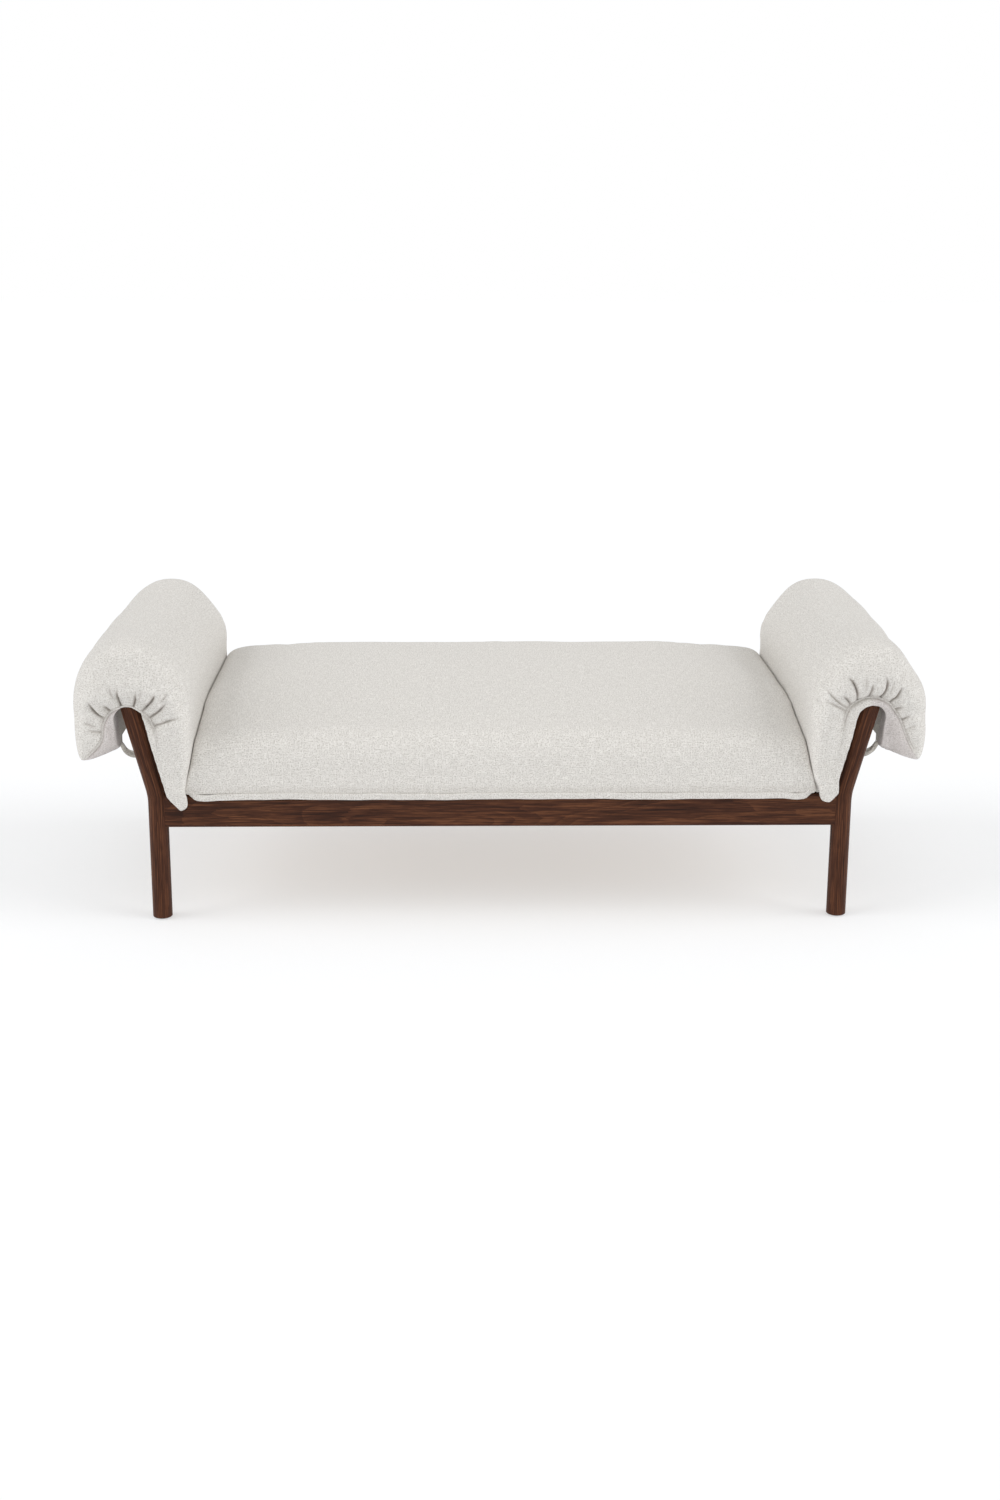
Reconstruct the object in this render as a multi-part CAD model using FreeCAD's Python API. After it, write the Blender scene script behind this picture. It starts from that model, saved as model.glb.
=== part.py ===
import FreeCAD, Part
import math
import os

# Daybed: a bent-leg timber frame with a slatted deck, a loose seat cushion and two
# thick arm pads that saddle a round bar at each end and are tied underneath it.
# Millimetres, +X along the bed, +Y to the back, +Z up, origin on the floor at the middle.

# ---- frame: legs and bars
leg_span_x = 1540.0  # between the leg axes at the floor, along the bed
leg_span_y = 730.0  # between the leg axes, front to back
leg_d = 44.0
leg_lean_deg = 14.5  # outward lean of the leg above its bend
leg_bend_r = 160.0
leg_over_bar = 24.0  # leg above the bar's axis, along the lean
leg_top_round = 7.0
leg_foot_chamfer = 1.5
bar_z = 515.0  # height of the arm bar's axis
bar_d = 36.0
bar_tenon_d = 22.0

# ---- frame: rails
rail_bottom_z = 217.0
rail_h = 75.0
rail_t = 30.0
end_rail_t = 28.0
rail_round = 6.0
tenon_t = 10.0
tenon_h = 46.0
tenon_stop = 6.0  # what a tenon leaves short of the leg's axis
stretcher_t = 30.0
stretcher_bottom_z = 222.0
stretcher_tenon = 10.0

# ---- deck
slat_count = 13
slat_w = 64.0
slat_t = 16.0
slat_round = 2.0
slat_end_gap = 1.0
cleat_w = 22.0
cleat_h = 26.0
cleat_end_gap = 5.0
block_leg = 70.0  # corner block's two short sides
block_h = 40.0

# ---- fasteners and floor glides
screw_d = 4.0
screw_head_d = 8.0
screw_head_h = 3.0
slat_screw_l = 32.0
cleat_screw_l = 38.0
block_screw_l = 40.0
screw_inset = 12.0  # slat screw from the slat's end
cleat_screw_count = 6
block_screw_reach = 26.0  # corner screw from the corner, along the rail
glide_d = 30.0
glide_t = 2.5
glide_pin_d = 4.0
glide_pin_l = 14.0

# ---- seat cushion
seat_gap = 3.0  # between the cushion's end and the arm pad
seat_overhang = 8.0  # cushion past the rail's outer face
seat_crown_z = 485.0  # top of the crown, above the floor
seat_front_z = 420.0  # where the top starts to roll down at the soft front edge
seat_front_r = 92.0
seat_rear_z = 477.0
seat_rear_r = 42.0
seat_swell = 19.0  # how far the top arches between those two edges
seat_end_z = 466.0  # where it rolls down at the two ends, which the arm pads hold up
seat_end_r = 32.0
cover_t = 2.0
layer_gap = 0.4  # between a cover and its filling, and between soft and hard
welt_t = 6.0
welt_h = 9.0
welt_rail_gap = 2.0  # welt to the long rail's outer face

# ---- arm pads
pad_over_y = 45.0  # pad past the leg axis, front and back
pad_inner = 138.0  # bar axis to the pad's inner face
pad_outer = 120.0  # bar axis to the pad's outermost point
pad_top = 130.0  # bar axis to the pad's top
pad_inner_spring = 50.0  # height of the inner face's end below the bar axis
pad_outer_spring = 40.0
pad_heel = 17.0  # how far the inner face draws in at its foot
pad_heel_h = 92.0
pad_end_r = 30.0  # rounding of the pad's two ends
leg_gap_in = 0.6  # pad to leg, on the seat side
leg_gap_out = 3.0  # and on the flap's side, over the bar
flap_flare = 27.0  # how much further out the flap's inner face stands at its foot
flap_drop = 112.0  # bar axis to the flap's lower edge, along the lean
flap_t = 80.0
flap_round = 7.0
flap_relief_w = 36.0  # bevel inside the flap's lower edge, between its two padded ends
flap_relief_h = 30.0
flap_end_l = 110.0  # unbevelled length at each end
arch_top = 17.0  # end opening's top below the bar axis
arch_rise = 27.0
hem_d = 6.0
hem_reach = 50.0  # seam's arch: its radius
hem_middle = 10.0  # and how far outward of the bar's axis it is centred
tip_drop = 26.0  # inner panel's corner, below the rail's top
tip_t = 14.0
tip_w = 39.0
tip_leg_gap = 3.0
tip_point = 10.0  # lowest point to the tip's seat side
tip_side_h = 10.0  # how far the two sides fall before they slope to the point

# ---- ties
tie_w = 10.0
tie_t = 1.6
tie_from_leg = 12.0  # tie's near edge behind the leg's surface
tie_stitch = 5.0  # how far up the flap the ties are sewn
tie_fall = 40.0  # how far below the flap they meet the inner panel
tie_sag = 25.0

V = FreeCAD.Vector
leg_r = leg_d / 2
leg_x = leg_span_x / 2
leg_y = leg_span_y / 2
lean = math.radians(leg_lean_deg)
rail_top_z = rail_bottom_z + rail_h
bend_z = rail_top_z - 1.0  # the two straight axes meet just under the rail's top
slat_z = rail_top_z - slat_t
across = V(math.cos(lean), 0, -math.sin(lean))  # outward, square to the leaning leg
along = V(math.sin(lean), 0, math.cos(lean))  # up the leaning leg
bar_axis = V(leg_x + (bar_z - bend_z) * math.tan(lean), 0, bar_z)
deck_x = leg_x - end_rail_t / 2  # inner face of an end rail
deck_y = leg_y - rail_t / 2  # inner face of a long rail
pad_half_y = leg_y + pad_over_y
pad_face_x = bar_axis.x - pad_inner
seat_half_x = pad_face_x - seat_gap
seat_half_y = leg_y + rail_t / 2 + seat_overhang
soft_floor_z = rail_top_z + layer_gap
parts = {}


def box(low, high):
    size = high - low
    return Part.makeBox(size.x, size.y, size.z, low)


def mirrored_x(shape):
    return shape.mirror(V(0, 0, 0), V(1, 0, 0))


def mirrored_y(shape):
    return shape.mirror(V(0, 0, 0), V(0, 1, 0))


def corner_set(name, shape):
    """Stores a shape made at the right front corner at all four corners."""
    parts["front_right_" + name] = shape
    parts["front_left_" + name] = mirrored_x(shape)
    parts["rear_right_" + name] = mirrored_y(shape)
    parts["rear_left_" + name] = mirrored_y(mirrored_x(shape))


def round_edges(shape, radius, wanted):
    return shape.makeFillet(radius, [edge for edge in shape.Edges if wanted(edge)])


def runs_along(axis):
    def test(edge):
        if not isinstance(edge.Curve, Part.Line):
            return False
        return abs(edge.tangentAt(edge.FirstParameter).dot(axis)) > 0.999

    return test


def on_bar(u, v, y=0.0):
    """A point u outward and v up from the bar's axis, in the leaning leg's directions."""
    return bar_axis + across * u + along * v + V(0, y, 0)


def channel(v, inset):
    """The u of the pad's two inner faces at height v, taken in by inset."""
    flare = flap_flare * (leg_over_bar - v) / (leg_over_bar + flap_drop)
    return -(leg_r + leg_gap_in + inset), leg_r + leg_gap_out + flare + inset


def screw(head, direction, length):
    """A flat-topped screw whose head face is centred on head and that runs along direction."""
    shank = Part.makeCylinder(screw_d / 2, length, head, direction)
    cone = Part.makeCone(screw_head_d / 2, screw_d / 2, screw_head_h, head, direction)
    return shank.fuse(cone).removeSplitter()


def leg_blank():
    """The right front leg as one round bar with a swept bend, before any mortise."""
    bend_start = bend_z - leg_bend_r * math.tan(lean / 2)
    foot = V(leg_x, -leg_y, glide_t)
    lower = Part.makeCylinder(leg_r, bend_start - glide_t, foot)
    lower = lower.makeChamfer(
        leg_foot_chamfer, [e for e in lower.Edges if e.BoundBox.ZMax < glide_t + 0.01]
    )
    section = Part.Face(Part.Wire(Part.makeCircle(leg_r, V(leg_x, -leg_y, bend_start))))
    pivot = V(leg_x + leg_bend_r, -leg_y, bend_start)
    bend = section.revolve(pivot, V(0, 1, 0), leg_lean_deg)
    turned_x = leg_x + leg_bend_r * (1 - math.cos(lean))
    upper_start = V(turned_x, -leg_y, bend_start + leg_bend_r * math.sin(lean))
    upper_end = on_bar(0, leg_over_bar, -leg_y)
    upper = Part.makeCylinder(leg_r, (upper_end - upper_start).Length, upper_start, along)
    upper = round_edges(upper, leg_top_round, lambda e: e.Closed and e.CenterOfMass.z > bar_z)
    return lower.fuse([bend, upper]).removeSplitter()


def long_rail(blanks):
    """The front rail: rounded along its length, coped to both legs, with a tenon at each end."""
    end_x = leg_x - math.sqrt(leg_r**2 - (rail_t / 2) ** 2) + 2.0
    low = V(-end_x, -leg_y - rail_t / 2, rail_bottom_z)
    rail = box(low, V(end_x, -leg_y + rail_t / 2, rail_top_z))
    rail = round_edges(rail, rail_round, runs_along(V(1, 0, 0)))
    for blank in blanks:
        rail = rail.cut(blank)
    middle_z = (rail_bottom_z + rail_top_z) / 2
    reach = leg_x - tenon_stop
    low = V(-reach, -leg_y - tenon_t / 2, middle_z - tenon_h / 2)
    return rail.fuse(box(low, V(reach, -leg_y + tenon_t / 2, middle_z + tenon_h / 2))).removeSplitter()


def end_rail(blanks):
    """The right end rail, made as the long rail is, between the two right legs."""
    end_y = leg_y - math.sqrt(leg_r**2 - (end_rail_t / 2) ** 2) + 2.0
    rail = box(V(deck_x, -end_y, rail_bottom_z), V(leg_x + end_rail_t / 2, end_y, rail_top_z))
    rail = round_edges(rail, rail_round, runs_along(V(0, 1, 0)))
    for blank in blanks:
        rail = rail.cut(blank)
    middle_z = (rail_bottom_z + rail_top_z) / 2
    reach = leg_y - tenon_stop
    low = V(leg_x - tenon_t / 2, -reach, middle_z - tenon_h / 2)
    return rail.fuse(box(low, V(leg_x + tenon_t / 2, reach, middle_z + tenon_h / 2))).removeSplitter()


def arm_bar(blanks):
    """The right arm bar with a round tenon at each end."""
    inner_y = leg_y - leg_r / 2
    bar = Part.makeCylinder(bar_d / 2, 2 * inner_y, bar_axis - V(0, inner_y, 0), V(0, 1, 0))
    for blank in blanks:
        bar = bar.cut(blank)
    reach = leg_y - tenon_stop
    tenon = Part.makeCylinder(bar_tenon_d / 2, 2 * reach, bar_axis - V(0, reach, 0), V(0, 1, 0))
    return bar.fuse(tenon).removeSplitter()


def cleat():
    """The front cleat, which carries the slats' front ends."""
    half = deck_x - block_leg - cleat_end_gap
    low = V(-half, -deck_y, slat_z - cleat_h)
    return box(low, V(half, -deck_y + cleat_w, slat_z))


def stretcher(cleats):
    """The middle cross rail, notched round both cleats and tenoned into the long rails."""
    low = V(-stretcher_t / 2, -deck_y, stretcher_bottom_z)
    rail = box(low, V(stretcher_t / 2, deck_y, slat_z))
    for one in cleats:
        rail = rail.cut(one)
    reach = deck_y + stretcher_tenon
    top = slat_z - cleat_h - 4.0
    low = V(-tenon_t / 2, -reach, stretcher_bottom_z + 4.0)
    return rail.fuse(box(low, V(tenon_t / 2, reach, top))).removeSplitter()


def corner_block(blank):
    """The right front corner block, cut round the leg."""
    corner = V(deck_x, -deck_y, slat_z - block_h)
    outline = [corner, corner + V(-block_leg, 0, 0), corner + V(0, block_leg, 0), corner]
    block = Part.Face(Part.makePolygon(outline)).extrude(V(0, 0, block_h))
    return block.cut(blank)


def slat_places():
    first = -(deck_x - slat_w / 2 - cleat_end_gap - 4.0)
    pitch = -2 * first / (slat_count - 1)
    return [first + pitch * i for i in range(slat_count)]


def slat(x):
    half_y = deck_y - slat_end_gap
    blank = box(V(x - slat_w / 2, -half_y, slat_z), V(x + slat_w / 2, half_y, rail_top_z))
    return round_edges(
        blank, slat_round, lambda e: runs_along(V(0, 1, 0))(e) and e.CenterOfMass.z > slat_z + 1
    )


def slat_screws():
    head_y = deck_y - slat_end_gap - screw_inset
    return [
        screw(V(x, side * head_y, rail_top_z), V(0, 0, -1), slat_screw_l)
        for x in slat_places()
        for side in (-1, 1)
    ]


def cleat_screws():
    """Screws through both cleats into the long rails, clear of the slat screws and the stretcher."""
    half = deck_x - block_leg - cleat_end_gap - 30.0
    step = 2 * half / (cleat_screw_count - 1)
    z = slat_z - cleat_h / 2
    found = []
    for side in (-1, 1):
        for i in range(cleat_screw_count):
            head = V(-half + step * i, side * (deck_y - cleat_w), z)
            found.append(screw(head, V(0, side, 0), cleat_screw_l))
    return found


def block_screws():
    """Two screws through each corner block: one into the long rail, one into the end rail."""
    reach = block_screw_reach
    depth = block_leg - reach
    high = slat_z - block_h * 0.3
    low = slat_z - block_h * 0.7
    into_long = screw(V(deck_x - depth, -deck_y + reach, low), V(0, -1, 0), block_screw_l)
    into_end = screw(V(deck_x - reach, -deck_y + depth, high), V(1, 0, 0), block_screw_l)
    pair = [into_long, into_end]
    pair += [mirrored_x(s) for s in pair]
    return pair + [mirrored_y(s) for s in pair]


def glide():
    """A nail-on glide under the right front foot."""
    base = V(leg_x, -leg_y, 0)
    disc = Part.makeCylinder(glide_d / 2, glide_t, base)
    disc = round_edges(disc, 1.0, lambda e: e.Closed and e.CenterOfMass.z < 0.01)
    return disc.fuse(Part.makeCylinder(glide_pin_d / 2, glide_t + glide_pin_l, base)).removeSplitter()


def crowned(half, low_z, first, last, swell, vertical):
    """A flat-bottomed outline with an arched top. vertical(t, z) places it, and first and last
    are the height and radius of its two rounded top corners."""
    (z_a, r_a), (z_b, r_b) = first, last
    dip_a, dip_b = r_a * (1 - math.sqrt(0.5)), r_b * (1 - math.sqrt(0.5))
    left = [(-half, z_a - r_a), (-half + dip_a, z_a - dip_a), (-half + r_a, z_a)]
    right = [(half - r_b, z_b), (half - dip_b, z_b - dip_b), (half, z_b - r_b)]
    left = [vertical(*point) for point in left]
    right = [vertical(*point) for point in right]
    middle = vertical((r_a - r_b) / 2, (z_a + z_b) / 2 + swell)
    edges = [
        Part.LineSegment(vertical(half, low_z), vertical(-half, low_z)).toShape(),
        Part.LineSegment(vertical(-half, low_z), left[0]).toShape(),
        Part.Arc(*left).toShape(),
        Part.Arc(left[2], middle, right[0]).toShape(),
        Part.Arc(*right).toShape(),
        Part.LineSegment(right[2], vertical(half, low_z)).toShape(),
    ]
    return Part.Face(Part.Wire(edges))


def seat_body(inset):
    """The seat cushion's outer form, taken in by inset on every side."""
    half_x = seat_half_x - inset
    half_y = seat_half_y - inset
    low_z = soft_floor_z + inset
    front = (seat_front_z - inset, seat_front_r - inset)
    rear = (seat_rear_z - inset, seat_rear_r - inset)
    end = (seat_end_z - inset, seat_end_r - inset)
    end_swell = seat_crown_z - seat_end_z
    lengthways = crowned(half_y, low_z, front, rear, seat_swell, lambda t, z: V(-half_x, t, z))
    crossways = crowned(half_x, low_z, end, end, end_swell, lambda t, z: V(t, -half_y, z))
    body = lengthways.extrude(V(2 * half_x, 0, 0))
    return body.common(crossways.extrude(V(0, 2 * half_y, 0)))


def seat_welt():
    """The flat self-welt along the foot of the seat cushion, just in front of the long rail."""
    x = seat_half_x - welt_h
    y = leg_y + rail_t / 2 + welt_rail_gap
    high = soft_floor_z - layer_gap
    front = box(V(-x, -y - welt_t, high - welt_h), V(x, -y, high))
    front = round_edges(front, welt_t / 3, runs_along(V(1, 0, 0)))
    return front, mirrored_y(front)


def rounded_corner(corner, before, after, reach):
    """Three points of an arc that touches both of a corner's sides at reach from the corner."""
    to_before = (before - corner).normalize()
    to_after = (after - corner).normalize()
    half = to_before.getAngle(to_after) / 2
    middle = (to_before + to_after).normalize()
    nearest = reach / math.cos(half) - reach * math.tan(half)
    return [corner + to_before * reach, corner + middle * nearest, corner + to_after * reach]


def pad_outline(inset):
    """The right arm pad's cross-section at y = 0, taken in by inset all round.
    It runs up the seat side, over the bar, down the outer flap and back up the channel."""
    face_x = pad_face_x + inset
    top = V(bar_axis.x, 0, bar_z + pad_top - inset)
    foot_z = soft_floor_z + inset
    roof = leg_over_bar + layer_gap + inset
    in_wall, out_wall = channel(roof, inset)
    flap_wall = channel(inset - flap_drop, inset)[1]
    foot_v = (foot_z - bar_z + in_wall * math.sin(lean)) / math.cos(lean)
    in_spring = V(face_x, 0, bar_z - pad_inner_spring)
    out_spring = V(bar_axis.x + pad_outer - inset, 0, bar_z - pad_outer_spring)
    flap_in = on_bar(flap_wall, inset - flap_drop)
    flap_out = on_bar(flap_wall + flap_t - 2 * inset, inset - flap_drop)
    turn = rounded_corner(flap_out, out_spring, flap_in, flap_round)
    heel = V(face_x + pad_heel, 0, foot_z)
    bend = V(face_x, 0, foot_z + pad_heel_h)
    heel_turn = rounded_corner(bend, heel, in_spring, pad_heel_h * 0.4)

    def quarter(points, slopes):
        curve = Part.BSplineCurve()
        curve.interpolate(Points=points, InitialTangent=slopes[0], FinalTangent=slopes[1])
        return curve.toShape()

    def over(spring):
        """A point half way along the rise from a spring to the top."""
        t = math.sqrt(0.5)
        return V(top.x + (spring.x - top.x) * t, 0, spring.z + (top.z - spring.z) * t)

    flank = (turn[0] - out_spring).normalize()
    corners = [flap_in, on_bar(out_wall, roof), on_bar(in_wall, roof), on_bar(in_wall, foot_v), heel]
    edges = [
        Part.LineSegment(heel, heel_turn[0]).toShape(),
        Part.Arc(*heel_turn).toShape(),
        Part.LineSegment(heel_turn[2], in_spring).toShape(),
        quarter([in_spring, over(in_spring), top], [V(0, 0, 1), V(1, 0, 0)]),
        quarter([top, over(out_spring), out_spring], [V(1, 0, 0), flank]),
        Part.LineSegment(out_spring, turn[0]).toShape(),
        Part.Arc(*turn).toShape(),
        Part.LineSegment(turn[2], flap_in).toShape(),
    ]
    edges += [Part.LineSegment(a, b).toShape() for a, b in zip(corners, corners[1:])]
    return Part.Face(Part.Wire(edges))


def arch_face(inset, y):
    """The opening that the pad's end leaves for the leg, as a face at that y."""
    top = inset - arch_top
    spring = top - arch_rise
    low = -2 * flap_drop - leg_span_y
    in_wall, out_spring = channel(spring, inset)
    points = [
        on_bar(in_wall, spring, y),
        on_bar(in_wall, low, y),
        on_bar(channel(low, inset)[1], low, y),
        on_bar(out_spring, spring, y),
    ]
    edges = [Part.LineSegment(a, b).toShape() for a, b in zip(points, points[1:])]
    crown = on_bar((in_wall + out_spring) / 2, top, y)
    edges.append(Part.Arc(points[3], crown, points[0]).toShape())
    return Part.Face(Part.Wire(edges))


def flap_relief(inset):
    """What is bevelled off inside the flap's lower edge, between the two ends."""
    high = V(channel(flap_relief_h - flap_drop, 0)[1], 0, flap_relief_h - flap_drop)
    low = V(channel(-flap_drop, 0)[1] + flap_relief_w, 0, -flap_drop)
    slope = (low - high).normalize()
    shift = V(-slope.z, 0, slope.x) * inset
    ends = [high + shift - slope * 2 * flap_t, low + shift + slope * flap_t]
    ring = [on_bar(p.x, p.z) for p in ends + [V(ends[0].x, 0, ends[1].z)]]
    half = pad_half_y - flap_end_l + inset
    face = Part.Face(Part.makePolygon(ring + ring[:1]))
    face.translate(V(0, -half, 0))
    wedge = face.extrude(V(0, 2 * half, 0))
    clear = on_bar(0, 0)
    return wedge.cut(box(V(0, -half, 0), V(clear.x, half, 2 * bar_z)))


def pad_body(inset):
    """The right arm pad as one solid: a saddle over the bar with an arched opening at each end."""
    half_y = pad_half_y - inset
    face = pad_outline(inset)
    face.translate(V(0, -half_y, 0))
    saddle = face.extrude(V(0, 2 * half_y, 0))
    end_wall_y = leg_y + leg_r + layer_gap + inset
    roof = leg_over_bar + layer_gap + inset
    low = -flap_drop / 2
    corners = [(channel(v, inset)[i], v) for i, v in ((0, roof), (1, roof), (1, low), (0, low))]
    for side in (-1, 1):
        outer_y = side * half_y
        inner_y = side * end_wall_y
        ring = [on_bar(u, v, inner_y) for u, v in corners]
        wall = Part.Face(Part.makePolygon(ring + ring[:1])).extrude(V(0, outer_y - inner_y, 0))
        opening = arch_face(inset, inner_y - side).extrude(V(0, outer_y - inner_y + 2 * side, 0))
        saddle = saddle.fuse(wall.cut(opening))
    saddle = saddle.cut(flap_relief(inset)).removeSplitter()
    return saddle.makeFillet(pad_end_r - inset, [e for e in saddle.Edges if rounds_an_end(e, half_y)])


def rounds_an_end(edge, half_y):
    """True for the curved edges over the top of an end face; the rounding runs on from them."""
    box_of = edge.BoundBox
    if abs(abs(edge.CenterOfMass.y) - half_y) > 0.01 or box_of.YLength > 0.01:
        return False
    return box_of.ZMax > bar_z + pad_top - pad_end_r


def pad_tips():
    """The two lower corners of the inner panel, which hang over the long rails' outer faces."""
    outer = leg_x - leg_r - tip_leg_gap
    inner = outer - tip_w
    y = -(leg_y + rail_t / 2 + layer_gap)
    low, high = rail_top_z - tip_drop, soft_floor_z + cover_t
    side = high - tip_side_h
    corners = [(outer, high), (outer, side), (inner + tip_point, low), (inner, side), (inner, high)]
    outline = Part.makePolygon([V(x, y, z) for x, z in corners + corners[:1]])
    tip = Part.Face(outline).extrude(V(0, -tip_t, 0))
    return tip, mirrored_y(tip)


def gathered_hem(side):
    """The corded seam round the right pad's front or rear opening, flared out to the flap's corner."""
    y = side * (pad_half_y + hem_d / 2)
    low = hem_d - flap_drop
    spring = -arch_top - hem_reach
    start = on_bar(channel(low, 0)[1] + flap_t - flap_round - hem_d, low, y)
    outer = on_bar(hem_middle + hem_reach, spring, y)
    inner = on_bar(hem_middle - hem_reach, spring, y)
    crown = on_bar(hem_middle, -arch_top, y)
    end = on_bar(hem_middle - hem_reach, low, y)
    path = Part.Wire(
        [
            Part.LineSegment(start, outer).toShape(),
            Part.Arc(outer, crown, inner).toShape(),
            Part.LineSegment(inner, end).toShape(),
        ]
    )
    ring = Part.Wire(Part.makeCircle(hem_d / 2, start, outer - start))
    return path.makePipeShell([ring], True, False, 2)


def tie(side):
    """A fabric tie from the right pad's flap to its inner panel, hanging behind a leg."""
    y = side * (leg_y - leg_r - tie_from_leg - tie_w)
    start_v, end_v = tie_stitch - flap_drop, -tie_fall - flap_drop
    start = on_bar(channel(start_v, 0)[1] - tie_t / 4, start_v)
    end = on_bar(channel(end_v, 0)[0] + tie_t / 4, end_v)
    middle = on_bar(flap_flare / 2, -flap_drop - tie_sag)
    round_under = Part.Circle(start, middle, end)
    centre, scale = round_under.Center, 1 - tie_t / round_under.Radius
    upper = [centre + (point - centre) * scale for point in (start, middle, end)]
    edges = [
        Part.Arc(start, middle, end).toShape(),
        Part.LineSegment(end, upper[2]).toShape(),
        Part.Arc(*reversed(upper)).toShape(),
        Part.LineSegment(upper[0], start).toShape(),
    ]
    face = Part.Face(Part.Wire(edges))
    face.translate(V(0, y, 0))
    return face.extrude(V(0, side * tie_w, 0))


def bored(shape, fasteners):
    for one in fasteners:
        if shape.BoundBox.intersect(one.BoundBox):
            shape = shape.cut(one)
    return shape


def build_frame():
    blank = leg_blank()
    blanks = [blank, mirrored_x(blank), mirrored_y(blank), mirrored_y(mirrored_x(blank))]
    front, right, bar = long_rail(blanks), end_rail(blanks), arm_bar(blanks)
    block, one_glide = corner_block(blank), glide()
    cleats = [cleat(), mirrored_y(cleat())]
    middle = stretcher(cleats)
    into_slats, into_cleats, into_blocks = slat_screws(), cleat_screws(), block_screws()
    screws = into_slats + into_cleats + into_blocks
    leg = blank
    for piece in (front, right, bar, one_glide):
        leg = leg.cut(piece)
    corner_set("leg", leg)
    corner_set("glide", one_glide)
    corner_set("corner_block", bored(block, screws))
    front = bored(front.cut(middle), screws)
    right = bored(right, screws)
    parts["front_rail"], parts["rear_rail"] = front, mirrored_y(front)
    parts["right_end_rail"], parts["left_end_rail"] = right, mirrored_x(right)
    parts["right_arm_bar"], parts["left_arm_bar"] = bar, mirrored_x(bar)
    parts["front_cleat"], parts["rear_cleat"] = [bored(c, screws) for c in cleats]
    parts["middle_stretcher"] = bored(middle, screws)
    for i, x in enumerate(slat_places()):
        parts[f"slat_{i + 1:02d}"] = bored(slat(x), into_slats)
    parts["slat_screws"] = Part.makeCompound(into_slats)
    parts["cleat_screws"] = Part.makeCompound(into_cleats)
    parts["corner_block_screws"] = Part.makeCompound(into_blocks)


def build_seat():
    parts["seat_cover"] = seat_body(0).cut(seat_body(cover_t))
    parts["seat_filling"] = seat_body(cover_t + layer_gap)
    parts["seat_welt"] = Part.makeCompound(list(seat_welt()))


def build_pads():
    filling = pad_body(cover_t + layer_gap)
    cover = pad_body(0).cut(pad_body(cover_t))
    for tip in pad_tips():
        cover = cover.fuse(tip)
    for side, turn in (("right", lambda s: s), ("left", mirrored_x)):
        parts[side + "_pad_cover"] = turn(cover.removeSplitter())
        parts[side + "_pad_filling"] = turn(filling)
        for end, sign in (("front", -1), ("rear", 1)):
            parts[f"{side}_{end}_gathered_hem"] = turn(gathered_hem(sign))
            parts[f"{side}_{end}_tie"] = turn(tie(sign))


def main():
    build_frame()
    build_seat()
    build_pads()
    os.makedirs("parts", exist_ok=True)
    for name, shape in parts.items():
        assert shape.isValid(), name
        shape.exportStep(f"parts/{name}.step")
    print(len(parts), "parts")


main()
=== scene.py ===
import math

import bpy
import numpy as np
from mathutils import Euler, Matrix, Vector
from mathutils.bvhtree import BVHTree


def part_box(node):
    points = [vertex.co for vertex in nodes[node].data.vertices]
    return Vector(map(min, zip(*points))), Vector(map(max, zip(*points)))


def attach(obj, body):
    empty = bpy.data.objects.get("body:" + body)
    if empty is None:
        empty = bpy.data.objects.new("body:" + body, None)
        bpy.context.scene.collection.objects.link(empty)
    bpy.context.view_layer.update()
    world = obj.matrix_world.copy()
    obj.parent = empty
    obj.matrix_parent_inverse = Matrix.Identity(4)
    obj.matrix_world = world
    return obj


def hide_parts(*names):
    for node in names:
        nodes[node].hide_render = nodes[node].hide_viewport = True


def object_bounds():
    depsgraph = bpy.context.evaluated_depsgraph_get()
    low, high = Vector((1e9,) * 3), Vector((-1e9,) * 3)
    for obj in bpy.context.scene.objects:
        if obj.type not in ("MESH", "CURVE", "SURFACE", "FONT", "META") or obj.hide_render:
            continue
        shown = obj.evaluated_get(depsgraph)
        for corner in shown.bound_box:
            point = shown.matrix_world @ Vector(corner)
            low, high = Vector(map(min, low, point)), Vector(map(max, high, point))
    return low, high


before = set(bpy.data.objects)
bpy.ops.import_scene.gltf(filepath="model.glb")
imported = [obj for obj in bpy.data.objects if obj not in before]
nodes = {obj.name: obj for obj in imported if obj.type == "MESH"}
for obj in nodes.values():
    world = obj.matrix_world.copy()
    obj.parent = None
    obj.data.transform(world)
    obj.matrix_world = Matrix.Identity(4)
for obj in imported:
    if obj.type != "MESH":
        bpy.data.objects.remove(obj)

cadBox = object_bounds()
print("frame loaded:", len(nodes), "nodes")


# the bed stands on a pale floor in soft light
view = {
    "aside": -0.1152,  # a little left of the middle
    "distance": 4.199,  # in front of the front legs
    "height": 1.5593,
    "pitch": 15.53,  # degrees below level
    "turn": 1.522,  # degrees to the right
    "roll": 0.277,
    "lens": 46.8,
    "sensor": 36.0,
    "legRadius": 0.022,
}
studio = {
    "floorSize": 60.0,
    "floorColour": (0.560, 0.570, 0.582, 1),
    "floorRoughness": 0.9,
    "floorGloss": 0.1,
    "floorGlow": 0.455,  # a lit floor, which keeps the shadow pale
    "skyLight": 0.585,  # how much the sky lights the object
    "skySeen": 1.0,  # how bright the sky looks behind the floor
    "lampDistance": 4.0,
    "lamps": [  # name, turn from the front, height in degrees, power, softness in degrees, colour
        ("leftWindow", -78, 34, 1.04, 42, (1.0, 0.997, 0.990)),
        ("rightWindow", 78, 34, 1.06, 42, (1.0, 0.997, 0.990)),
        ("frontWindow", 3, 38, 0.18, 36, (1.0, 0.99, 0.98)),
    ],
}

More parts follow.
